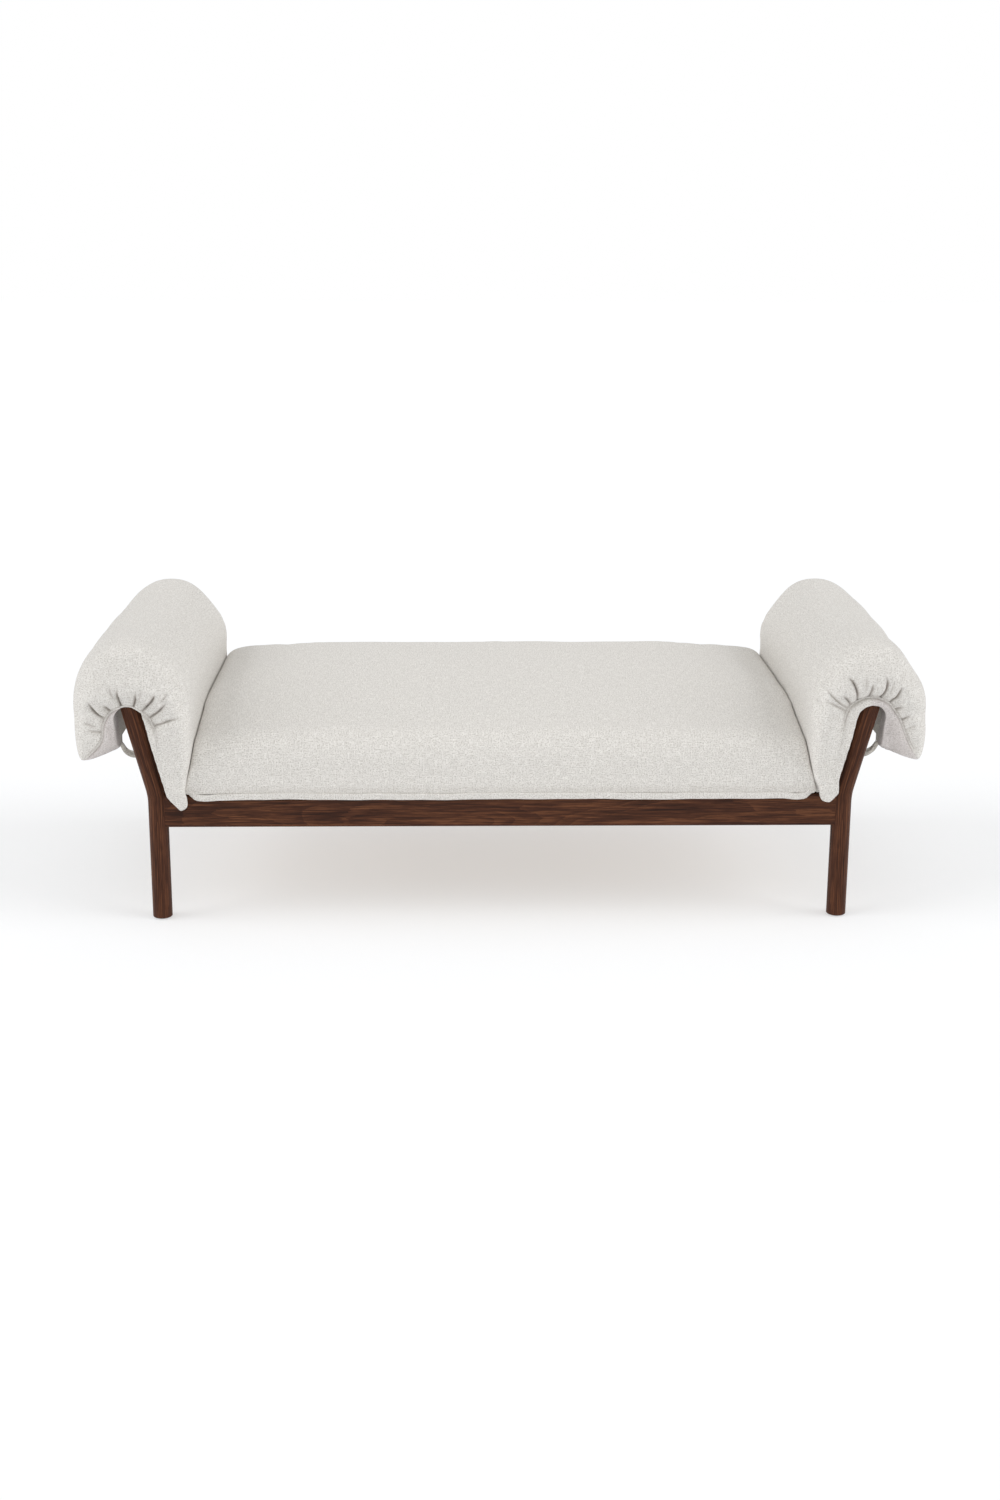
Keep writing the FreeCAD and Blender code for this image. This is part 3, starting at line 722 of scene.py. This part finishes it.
padLook = {
    "voxel": 0.006,
    "cap": 0.010,
    "innerCap": 0.0018,  # beside the seat cushion
    "innerWall": 0.715,  # that wall lies nearer to the middle than this
    "cloth": clothLook,
    "barHeight": 0.515,
    "barOut": 0.8279,
    "lean": 14.5,
    "wallIn": -0.0226,  # the two sides of the channel, at the bar
    "wallOut": 0.0250,
    "wallFlare": 0.197,  # how fast the outer side opens downward
    "roof": 0.0248,
    "endBulge": 0.006,
    "frontRound": (0.040, 0.130),  # how much the outline draws in at each end, and over what length
    "rearRound": (0.018, 0.090),
    "crown": 0.006,
    "corner": (0.006, 0.011),  # how far the flap's outer corner hangs out and down
    "heart": 0.012,  # the middle of the roll, outward from the bar
    "shoulder": {"right": 0.014, "left": 0.0},  # how much is gone from the top of the outer side
    "belly": {"right": 0.010, "left": 0.005},  # and how much fuller the flap is below it
    "tuck": 0.013,  # how deep the cover is drawn in at the seam
    "facingDeep": 0.026,  # how far the facing falls back towards the leg
    "ripple": 0.0010,
    "rippleSeed": {"left": 21, "right": 22},
    "fill": 0.8,
}
lean = math.radians(padLook["lean"])

# seams as points from the bar's centre: outward, and up along the leaning leg
seams = {
    "right": [
        (0.125, -0.099), (0.106, -0.079), (0.088, -0.057), (0.068, -0.030), (0.047, -0.012),
        (0.033, -0.002), (0.014, 0.003), (-0.004, 0.003), (-0.022, -0.003), (-0.037, -0.017),
        (-0.048, -0.035), (-0.051, -0.056), (-0.050, -0.080), (-0.047, -0.110),
    ],
    "left": [
        (0.127, -0.106), (0.104, -0.095), (0.085, -0.082), (0.074, -0.068), (0.066, -0.046),
        (0.054, -0.030), (0.038, -0.018), (0.020, -0.014), (0.006, -0.013), (-0.009, -0.019),
        (-0.021, -0.031), (-0.033, -0.048), (-0.040, -0.068), (-0.042, -0.088), (-0.039, -0.112),
    ],
}
# gathers, each from its outer end through its middle to the seam, and how deep it is
gathers = {
    "right": [
        ((-0.082, 0.034), (-0.059, 0.021), (-0.039, -0.011), 0.009),
        ((-0.024, 0.036), (-0.018, 0.022), (-0.017, 0.002), 0.007),
        ((-0.003, 0.061), (0.011, 0.038), (0.009, 0.006), 0.0095),
        ((0.043, 0.048), (0.043, 0.026), (0.035, 0.002), 0.009),
        ((0.065, 0.001), (0.059, -0.007), (0.052, -0.013), 0.0055),
        ((0.085, -0.013), (0.081, -0.025), (0.072, -0.033), 0.0055),
        ((-0.079, -0.009), (-0.065, -0.015), (-0.050, -0.026), 0.0075),
        ((-0.117, -0.001), (-0.092, -0.020), (-0.056, -0.037), 0.005),
        ((-0.109, -0.032), (-0.085, -0.036), (-0.055, -0.045), 0.0045),
        ((-0.044, 0.051), (-0.036, 0.033), (-0.031, 0.015), 0.0025),
        ((0.021, 0.056), (0.024, 0.038), (0.022, 0.018), 0.0025),
        ((0.106, -0.033), (0.100, -0.040), (0.090, -0.050), 0.003),
    ],
    "left": [
        ((0.076, 0.021), (0.074, 0.000), (0.061, -0.027), 0.0095),
        ((0.046, 0.005), (0.046, -0.007), (0.038, -0.016), 0.007),
        ((0.001, 0.037), (0.011, 0.013), (0.012, -0.012), 0.010),
        ((-0.033, 0.018), (-0.024, -0.002), (-0.013, -0.019), 0.009),
        ((-0.068, 0.001), (-0.060, -0.013), (-0.030, -0.033), 0.0095),
        ((-0.093, -0.022), (-0.069, -0.040), (-0.041, -0.053), 0.008),
        ((-0.115, -0.067), (-0.077, -0.069), (-0.042, -0.075), 0.006),
        ((-0.097, -0.005), (-0.089, -0.013), (-0.077, -0.020), 0.0035),
        ((0.015, 0.045), (0.021, 0.031), (0.020, 0.018), 0.0035),
        ((0.100, -0.039), (0.087, -0.050), (0.070, -0.057), 0.0045),
        ((0.105, -0.026), (0.094, -0.031), (0.081, -0.042), 0.0035),
        ((-0.048, 0.021), (-0.041, 0.008), (-0.033, -0.006), 0.0025),
    ],
}
foldLook = {
    "narrow": 0.0019,  # width of a gather's valley
    # width of the painted shade along a valley
    "shade": 0.0025,
    "wide": 0.0082,  # width of the hollow round it
    "steps": 40,
    "seamDip": 0.0026,
    # strength of the painted shade beside the seam cord
    "seamShade": 0.42,
}


def toLeg(points):
    # outward and upward from the bar's centre, along the leaning leg, at either end of the bed
    dx = np.abs(points[:, 0]) - padLook["barOut"]
    dz = points[:, 2] - padLook["barHeight"]
    return dx * math.cos(lean) - dz * math.sin(lean), dx * math.sin(lean) + dz * math.cos(lean)


def fromLeg(u, v):
    x = padLook["barOut"] + u * math.cos(lean) + v * math.sin(lean)
    z = padLook["barHeight"] - u * math.sin(lean) + v * math.cos(lean)
    return x, z


def outerWall(v):
    return padLook["wallOut"] + padLook["wallFlare"] * np.maximum(padLook["roof"] - v, 0)


def seamLine(side, count):
    # a smooth line through the seam's points
    knots = np.array(seams[side])
    ends = np.vstack([2 * knots[0] - knots[1], knots, 2 * knots[-1] - knots[-2]])
    line = []
    spans = len(knots) - 1
    for step in np.linspace(0, spans - 1e-9, count):
        k = int(step)
        t = step - k
        a, b, c, d = ends[k : k + 4]
        bend, twist = 2 * a - 5 * b + 4 * c - d, 3 * b - a - 3 * c + d
        line.append(0.5 * (2 * b + (c - a) * t + bend * t * t + twist * t**3))
    line = np.array(line)
    length = np.concatenate([[0], np.cumsum(np.linalg.norm(np.diff(line, axis=0), axis=1))])
    even = np.linspace(0, length[-1], count)
    return np.column_stack([np.interp(even, length, line[:, 0]), np.interp(even, length, line[:, 1])])


def seamDistance(u, v, line):
    # signed distance from the seam, outside positive, and the place along it
    flatU, flatV = u[:, None] - line[None, :, 0], v[:, None] - line[None, :, 1]
    near = np.argmin(flatU**2 + flatV**2, axis=1)
    tangent = np.gradient(line, axis=0)
    tangent /= np.linalg.norm(tangent, axis=1)[:, None]
    normal = np.column_stack([-tangent[:, 1], tangent[:, 0]])
    if (normal[len(line) // 2] @ np.array([0, 1])) < 0:
        normal = -normal
    offset = np.column_stack([u, v]) - line[near]
    return np.sum(offset * normal[near], axis=1), near / (len(line) - 1)


def bendThrough(first, middle, last, count):
    first, middle, last = (np.array(point) for point in (first, middle, last))
    control = 2 * middle - (first + last) / 2
    t = np.linspace(0, 1, count)[:, None]
    return (1 - t) ** 2 * first + 2 * t * (1 - t) * control + t**2 * last


def foldDepth(u, v, creases):
    # how far the gathers press in, and how much painted shade lies in their valleys
    depthHere, dark = np.zeros(len(u)), np.zeros(len(u))
    last = foldLook["steps"] - 1
    for outer, middle, inner, depth in creases:
        path = bendThrough(outer, middle, inner, foldLook["steps"])
        apart = (u[:, None] - path[None, :, 0]) ** 2 + (v[:, None] - path[None, :, 1]) ** 2
        near = np.argmin(apart, axis=1)
        gap = np.sqrt(apart[np.arange(len(u)), near])
        t = near / last
        ahead = path[np.minimum(near + 1, last)] - path[np.maximum(near - 1, 0)]
        left = ahead[:, 0] * (v - path[near, 1]) - ahead[:, 1] * (u - path[near, 0]) > 0
        along = smoothStep(t, 0.0, 0.55) * (1 - 0.35 * smoothStep(t, 0.8, 1.0))
        # each valley is steeper on one side than on the other
        narrow = np.exp(-((gap / (foldLook["narrow"] * np.where(left, 1.35, 0.8))) ** 2))
        wide = np.exp(-((gap / (foldLook["wide"] * np.where(left, 1.25, 0.75))) ** 2))
        depthHere += depth * along * (0.70 * narrow + 0.85 * wide)
        shade = np.exp(-((gap / (foldLook["shade"] * np.where(left, 1.3, 0.7))) ** 2))
        dark = np.maximum(dark, along * shade * min(1.0, depth / 0.009))
    return depthHere, dark


def sculptEnd(points, sign, line, creases):
    # tucks the cover into the seam, hollows the facing and presses in the gathers
    u, v = toLeg(points)
    y = points[:, 1] * sign
    active = np.where((y > 0.335) & (u > -0.15) & (v < 0.12))[0]
    u, v, y = u[active], v[active], y[active]
    distance, place = seamDistance(u, v, line)
    inside = -distance
    face = smoothStep(y, 0.345, 0.388)
    ends = smoothStep(place, 0.0, 0.08) * (1 - smoothStep(place, 0.80, 1.0))
    tuck = padLook["tuck"] * ends * np.exp(-((np.maximum(distance, 0) / 0.016) ** 2))
    recess = padLook["tuck"] * ends * np.exp(-((np.minimum(distance, 0) / 0.010) ** 2))
    hollow = (0.0075 + 0.0050 * smoothStep(inside, 0.003, 0.030)) * (0.2 + 0.8 * ends)
    inward = np.where(distance > 0, tuck, np.maximum(hollow, recess))
    fallBack = padLook["facingDeep"] * smoothStep(inside, 0.004, 0.045)
    fallBack *= smoothStep(u, 0.0, 0.02) * smoothStep(y, 0.300, 0.395)
    bulge = padLook["endBulge"] * np.exp(-(((distance - 0.050) / 0.030) ** 2)) * (distance > 0)
    folds, dark = foldDepth(u, v, creases)
    folds *= smoothStep(distance, -0.003, 0.004)
    seamDip = foldLook["seamDip"] * np.exp(-((distance / 0.0026) ** 2)) * (0.3 + 0.7 * ends)
    moved = points.copy()
    moved[active, 1] -= sign * ((inward - bulge + folds + seamDip) * face + fallBack)
    # painted shade in the valleys and along both edges of the cord, where shade falls
    besideCord = np.exp(-(((np.abs(distance) - 0.0030) / 0.0013) ** 2)) * ends
    valleys = dark * smoothStep(distance, -0.001, 0.003)
    creaseShade = np.zeros(len(points))
    creaseShade[active] = np.maximum(valleys, foldLook["seamShade"] * besideCord) * face
    facing = np.zeros(len(points))
    turned = smoothStep(inside, 0.0005, 0.0025)
    facing[active] = turned * smoothStep(y, 0.30, 0.33) * smoothStep(u, -0.016, 0.004)
    return moved, creaseShade, facing


tipLook = {
    "back": 0.3845,  # distance from the bed's middle to the tip's inner side
    "thick": 0.020,
    "swing": {"right": (0.018, 0.012), "left": (-0.002, -0.004)},  # outward and up, at the very tip
    "swingFrom": 0.332,  # the height where that begins
    "swingTall": 0.066,
    "outline": [
        (0.7470, 0.3120), (0.7470, 0.2990), (0.7400, 0.2875), (0.7160, 0.2655),
        (0.7020, 0.2740), (0.7015, 0.2860), (0.7070, 0.3120),
    ],
}


def makeTip(sign):
    # the inner panel's lower corner, hanging in front of the rail or behind it
    corners = tipLook["outline"]
    bpy.ops.mesh.primitive_circle_add(vertices=len(corners), fill_type="NGON", location=(0, 0, 0))
    tip = bpy.context.object
    for vertex, (x, z) in zip(tip.data.vertices, corners):
        vertex.co = (x, sign * tipLook["back"], z)
    choose(tip)
    bpy.ops.object.mode_set(mode="EDIT")
    bpy.ops.mesh.select_all(action="SELECT")
    thick = (0, sign * tipLook["thick"], 0)
    bpy.ops.mesh.extrude_region_move(TRANSFORM_OT_translate={"value": thick})
    bpy.ops.mesh.select_all(action="SELECT")
    bpy.ops.mesh.normals_make_consistent(inside=False)
    bpy.ops.object.mode_set(mode="OBJECT")
    return tip


def placeBack(points, u, v):
    x, z = fromLeg(u, v)
    placed = points.copy()
    placed[:, 0], placed[:, 2] = x * np.sign(points[:, 0]), z
    return placed


def roundEnds(points):
    # draws the outline in towards the ends, as a stuffed pad does, but not beside the leg
    u, v = toLeg(points)
    top = np.abs(points[:, 1]).max()
    draw = 0
    for sign, end in ((-1, "frontRound"), (1, "rearRound")):
        most, length = padLook[end]
        run = np.clip((points[:, 1] * sign - (top - length)) / length, 0, 1)
        draw = draw + most * (1 - np.sqrt(np.maximum(1 - run**2, 0)))
    towardU, towardV = u - padLook["heart"], np.maximum(v + 0.03, 0)
    reach = np.maximum(np.hypot(towardU, towardV), 1e-6)
    strength = draw * smoothStep(v, -0.10, 0.01) * smoothStep(reach, 0.045, 0.085)
    newU, newV = u - towardU / reach * strength, v - towardV / reach * strength
    # the crown stands a little higher and the flap's outer corner hangs fuller
    newV += padLook["crown"] * smoothStep(v, 0.03, 0.11)
    corner = smoothStep(u, 0.045, 0.110) * (1 - smoothStep(v, -0.125, -0.010))
    newU += padLook["corner"][0] * corner
    newV -= padLook["corner"][1] * corner
    return placeBack(points, newU, newV)


def ownShape(points, side):
    # each pad has been leant on differently: one has a slimmer shoulder and a fuller flap
    u, v = toLeg(points)
    towardU, towardV = u - padLook["heart"], v + 0.01
    reach = np.maximum(np.hypot(towardU, towardV), 1e-6)
    angle = np.arctan2(towardV, towardU)  # from straight out, upward
    middle = np.exp(-(((points[:, 1] + 0.20) / 0.25) ** 2))  # most towards the front
    change = -padLook["shoulder"][side] * np.exp(-(((angle - 1.05) / 0.55) ** 2)) * middle
    change = change + padLook["belly"][side] * np.exp(-(((angle + 0.40) / 0.36) ** 2))
    change *= smoothStep(reach, 0.060, 0.105)
    return placeBack(points, u + towardU / reach * change, v + towardV / reach * change)


def inChannel(u, v, room):
    # beside the bar and the legs, within a little room of the channel's walls
    return (u > padLook["wallIn"] - room) & (u < outerWall(v) + room)


def padCap(points):
    # how far the filling may swell: hardly at all round the bar, beside the seat and at the tips
    u, v = toLeg(points)
    cap = np.full(len(points), padLook["cap"])
    cap[inChannel(u, v, 0.006) & (v < padLook["roof"] + 0.008)] = 0.0002
    innerCap = (padLook["cap"] - padLook["innerCap"]) * smoothStep(points[:, 2], 0.44, 0.54)
    innerCap += padLook["innerCap"] + np.where(np.abs(points[:, 0]) > padLook["innerWall"], 1, 0)
    tipCap = 0.0006 + 0.01 * smoothStep(points[:, 2], 0.300, 0.34)
    return np.minimum(np.minimum(cap, innerCap), tipCap)


def makePad():
    # the right pad; the left one is its mirror image until the gathers go in
    tips = [makeTip(sign) for sign in (-1, 1)]
    pad = softCopy("rightArmPad", "right_pad_filling", tips, padLook["voxel"])
    points = getPoints(pad)
    cap = relax(padCap(points), getEdges(pad), 3)
    cap = np.minimum(cap, padCap(points) + 0.002)
    inflate(pad, padLook["cloth"], cap)
    print("arm pad inflated:", len(pad.data.vertices), "points")
    subdivide(pad, 1)
    setPoints(pad, roundEnds(getPoints(pad)))
    return pad


def mirrorPad(pad):
    other = bpy.data.objects.new("leftArmPad", pad.data.copy())
    bpy.context.scene.collection.objects.link(other)
    points = getPoints(other)
    points[:, 0] *= -1
    setPoints(other, points)
    choose(other)
    bpy.ops.object.mode_set(mode="EDIT")
    bpy.ops.mesh.select_all(action="SELECT")
    bpy.ops.mesh.flip_normals()
    bpy.ops.object.mode_set(mode="OBJECT")
    return other


def byOpening(middles, inner, outer, low, high, back):
    # the faces round the leg opening, within these bounds
    u, v = toLeg(middles)
    return (np.abs(middles[:, 1]) > back) & (u > inner) & (u < outer) & (v > low) & (v < high)


def nearOpening(middles):
    return byOpening(middles, -0.130, 0.138, -0.125, 0.085, 0.366)


def nearFolds(side):
    paths = [bendThrough(outer, middle, inner, 24) for outer, middle, inner, depth in gathers[side]]
    line = np.vstack(paths + [seamLine(side, 160)])

    def wanted(middles):
        u, v = toLeg(middles)
        close = np.where(byOpening(middles, -0.13, 0.136, -0.12, 0.075, 0.372))[0]
        apart = (u[close][:, None] - line[None, :, 0]) ** 2 + (v[close][:, None] - line[None, :, 1]) ** 2
        chosen = np.zeros(len(middles), bool)
        chosen[close] = apart.min(axis=1) < 0.0055**2
        return chosen

    return wanted


def finishPad(pad, side):
    refineWhere(pad, nearOpening)
    refineWhere(pad, nearFolds(side))
    points = ownShape(getPoints(pad), side)
    # a little unevenness, but none round the bar, beside the seat or at the tips
    u, v = toLeg(points)
    free = smoothStep(points[:, 2], 0.32, 0.42) * smoothStep(np.abs(points[:, 0]), 0.692, 0.74)
    free *= np.where(inChannel(u, v, 0.02) & (v < padLook["roof"] + 0.02), 0, 1)
    uneven = ripple(points, 10, padLook["ripple"], padLook["rippleSeed"][side])
    points += getNormals(pad) * (uneven * free)[:, None]
    line = seamLine(side, 220)
    creaseShade = np.zeros(len(points))
    facing = np.zeros(len(points))
    for sign in (-1, 1):
        points, foldShade, within = sculptEnd(points, sign, line, gathers[side])
        creaseShade = np.maximum(creaseShade, foldShade)
        facing = np.maximum(facing, within)
    # the tips hang a little differently on each pad
    out, up = tipLook["swing"][side]
    swung = np.clip((tipLook["swingFrom"] - points[:, 2]) / tipLook["swingTall"], 0, 1)
    swung *= np.abs(points[:, 1]) > 0.379
    points[:, 0] += np.sign(points[:, 0]) * out * swung
    points[:, 2] += up * swung**2
    setPoints(pad, points)
    setAttribute(pad, "creaseShade", creaseShade)
    setAttribute(pad, "facing", facing)
    addWeave(pad)
    paint(pad, linen)
    shadeSmooth(pad)
    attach(pad, side + "_arm_pad")
    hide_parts(side + "_pad_cover", side + "_pad_filling")
    return line


rightPad = makePad()
leftPad = mirrorPad(rightPad)
seamLines = {"right": finishPad(rightPad, "right"), "left": finishPad(leftPad, "left")}
print("arm pads made")


def pressEnds():
    # the seat's ends bear against the arm pads all the way down
    tree = bpy.context.evaluated_depsgraph_get()
    seatTree = BVHTree.FromObject(seat, tree)
    points = getPoints(seat)
    heights = np.linspace(0.300, 0.440, 15)
    for sign, pad in ((1, rightPad), (-1, leftPad)):
        padTree = BVHTree.FromObject(pad, tree)
        gaps = []
        for z in heights:
            found = []
            for y in (-0.24, -0.1, 0.1, 0.24):
                padHit = padTree.ray_cast(Vector((sign * 0.5, y, z)), Vector((sign, 0, 0)))[0]
                seatHit = seatTree.ray_cast(Vector((sign * 0.9, y, z)), Vector((-sign, 0, 0)))[0]
                if padHit and seatHit and abs(seatHit.x) > 0.66:
                    found.append(abs(padHit.x) - abs(seatHit.x))
            gaps.append(min(found) if found else seatLook["clear"])
        reach = np.interp(points[:, 2], heights, gaps) - seatLook["clear"]
        near = smoothStep(points[:, 0] * sign, 0.640, 0.682)
        points[:, 0] += sign * near * np.maximum(reach, 0)
        print("seat end moved out by", round(float(reach.max()) * 1000, 1), "mm")
    setPoints(seat, points)


pressEnds()


cordLook = {"radius": 0.0023, "sink": 0.0004, "smooth": 3, "taper": (0.4, 8)}


def surfaceAt(tree, x, z, sign):
    # where the pad's front or rear lies
    return tree.ray_cast(Vector((x, sign * 0.6, z)), Vector((0, -sign, 0)))[0]


def tubeAlong(name, points, radius, material, taper):
    curve = bpy.data.curves.new(name, "CURVE")
    curve.dimensions = "3D"
    spline = curve.splines.new("NURBS")
    spline.points.add(len(points) - 1)
    for index, (point, place) in enumerate(zip(spline.points, points)):
        point.co = (*place, 1)
        point.radius = taper(index / (len(points) - 1))
    spline.order_u = 3
    spline.use_endpoint_u = True
    curve.bevel_depth = radius
    curve.bevel_resolution = 3
    curve.use_fill_caps = True
    tube = bpy.data.objects.new(name, curve)
    bpy.context.scene.collection.objects.link(tube)
    choose(tube)
    bpy.ops.object.convert(target="MESH")
    tube = bpy.context.object
    addWeave(tube)
    paint(tube, material)
    shadeSmooth(tube)
    return tube


def thinAtEnd(t):
    least, growth = cordLook["taper"]
    return min(1.0, least + growth * (1 - t))


def makeSeams(pad, side):
    # a thin cord on the pad's own surface, round each leg opening
    tree = BVHTree.FromObject(pad, bpy.context.evaluated_depsgraph_get())
    flip = -1 if side == "left" else 1
    for end, sign in (("front", -1), ("rear", 1)):
        places = []
        for u, v in seamLines[side][2:-24:3]:  # it ends short of the pad's foot
            x, z = fromLeg(u, v)
            hit = surfaceAt(tree, flip * x, z, sign)
            if hit is not None:
                places.append((hit.x, hit.y - sign * cordLook["sink"], hit.z))
        places = np.array(places)
        for _ in range(cordLook["smooth"]):
            places[1:-1, 1] = (places[:-2, 1] + places[1:-1, 1] * 2 + places[2:, 1]) / 4
        name = f"{side}{end.capitalize()}Seam"
        cord = tubeAlong(name, places, cordLook["radius"], linen, thinAtEnd)
        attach(cord, side + "_arm_pad")
        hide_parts(f"{side}_{end}_gathered_hem")


makeSeams(rightPad, "right")
makeSeams(leftPad, "left")
print("seams corded")

tieLook = {
    "width": 0.009,
    "thick": 0.0012,
    "sag": (0.004, 0.018),  # of the two tapes
    "drop": 0.001,
    "apart": 0.002,
    "twist": ((0.0, 0.5, 0.0, 0.2), (0.3, -0.4, 0.9, 0.2)),
}


def flatTape(name, points, width, thick, twists):
    curve = bpy.data.curves.new(name, "CURVE")
    curve.dimensions = "3D"
    spline = curve.splines.new("BEZIER")
    spline.bezier_points.add(len(points) - 1)
    for index, (point, place) in enumerate(zip(spline.bezier_points, points)):
        point.co = place
        point.handle_left_type = point.handle_right_type = "AUTO"
        point.tilt = twists[index]
    curve.resolution_u = 10
    curve.extrude = width / 2
    curve.twist_mode = "MINIMUM"
    tape = bpy.data.objects.new(name, curve)
    bpy.context.scene.collection.objects.link(tape)
    choose(tape)
    bpy.ops.object.convert(target="MESH")
    tape = bpy.context.object
    thicker = tape.modifiers.new("Thick", "SOLIDIFY")
    thicker.thickness = thick
    thicker.offset = 0
    bpy.ops.object.modifier_apply(modifier="Thick")
    rounder = tape.modifiers.new("Round", "BEVEL")
    rounder.width = thick * 0.35
    rounder.segments = 2
    bpy.ops.object.modifier_apply(modifier="Round")
    addWeave(tape)
    paint(tape, tapeLinen)
    shadeSmooth(tape)
    return tape


def makeTies(side):
    # two short tapes from the flap down to the inner panel, one slacker than the other
    flip = -1 if side == "left" else 1
    for end, sign in (("front", -1), ("rear", 1)):
        low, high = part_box(f"{side}_{end}_tie")
        y = (low.y + high.y) / 2
        outX = max(abs(low.x), abs(high.x))
        inX = min(abs(low.x), abs(high.x))
        tapes = []
        for index, sag in enumerate(tieLook["sag"]):
            near = y + sign * (index * 2 - 1) * tieLook["apart"]
            far = y - sign * (index * 2 - 1) * tieLook["apart"]
            top = high.z - tieLook["drop"]
            middle = (high.z + low.z) / 2 - tieLook["drop"]
            points = [
                (flip * (outX + 0.003), near, top),
                (flip * (outX - 0.012), near, top - 0.016 - sag * 0.4),
                (flip * (outX + inX) / 2, far, middle - 0.008 - sag * 0.6),
                (flip * (inX + 0.004), near, low.z + 0.002 - sag * 0.2),
            ]
            name = f"{side}{end.capitalize()}Tape{index}"
            tapes.append(flatTape(name, points, tieLook["width"], tieLook["thick"], tieLook["twist"][index]))
        for tape in tapes:
            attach(tape, side + "_arm_pad")
        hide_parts(f"{side}_{end}_tie")


makeTies("right")
makeTies("left")
print("ties made")

weltLook = {
    "thick": 0.0060,
    "above": 0.0056,  # higher than the plain welt
    "past": 0.011,  # longer than the cushion, at each end
    "proud": 0.0004,
    "round": 0.0024,
    "cuts": 220,
    "waves": 0.0012,
    "sideWaves": 0.0006,
    "cornerDip": 0.0030,
    "cornerRise": 0.010,
    "cornerTurn": 0.004,
}


def makeWelt():
    # a flat double fold stitched along the cushion's lower front and rear edges
    low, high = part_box("seat_welt")
    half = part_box("seat_cover")[1].x + weltLook["past"]
    tall = high.z - low.z + weltLook["above"]
    for end, sign in (("Front", -1), ("Rear", 1)):
        deselectAll()
        out = high.y - weltLook["thick"] / 2 + weltLook["proud"]
        place = (0, sign * out, low.z + tall / 2)
        bpy.ops.mesh.primitive_cube_add(size=1.0, location=place, scale=(2 * half, weltLook["thick"], tall))
        welt = bpy.context.object
        welt.name = "seatWelt" + end
        choose(welt)
        bpy.ops.object.transform_apply(location=True, rotation=True, scale=True)
        bpy.ops.object.mode_set(mode="EDIT")
        bpy.ops.mesh.select_all(action="SELECT")
        bpy.ops.mesh.bevel(offset=weltLook["round"], segments=4, affect="EDGES")
        # cut across many times so that it can wave
        for cut in np.linspace(-half + weltLook["thick"], half - weltLook["thick"], weltLook["cuts"]):
            bpy.ops.mesh.select_all(action="SELECT")
            bpy.ops.mesh.bisect(plane_co=(cut, 0, 0), plane_no=(1, 0, 0))
        bpy.ops.object.mode_set(mode="OBJECT")
        points = getPoints(welt)
        x = points[:, 0]
        wave = np.sin(x * 11.0 + 0.6) * 0.6 + np.sin(x * 27.0 + 2.0) * 0.4 + np.sin(x * 63.0) * 0.25
        points[:, 2] += wave * weltLook["waves"]
        toEnd = half - np.abs(x)
        points[:, 2] -= weltLook["cornerDip"] * np.exp(-(((toEnd - 0.035) / 0.022) ** 2))
        points[:, 2] += weltLook["cornerRise"] * (1 - smoothStep(toEnd, 0.0, 0.022)) ** 2
        sideWave = np.sin(x * 19.0 + 1.0) * 0.5 + np.sin(x * 47.0) * 0.3
        points[:, 1] += sign * sideWave * weltLook["sideWaves"]
        points[:, 1] -= sign * weltLook["cornerTurn"] * (1 - smoothStep(toEnd, 0.0, 0.018)) ** 2
        setPoints(welt, points)
        addWeave(welt)
        paint(welt, linen)
        shadeSmooth(welt)
        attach(welt, "seat_cushion")
    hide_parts("seat_welt")


makeWelt()
print("welts made")
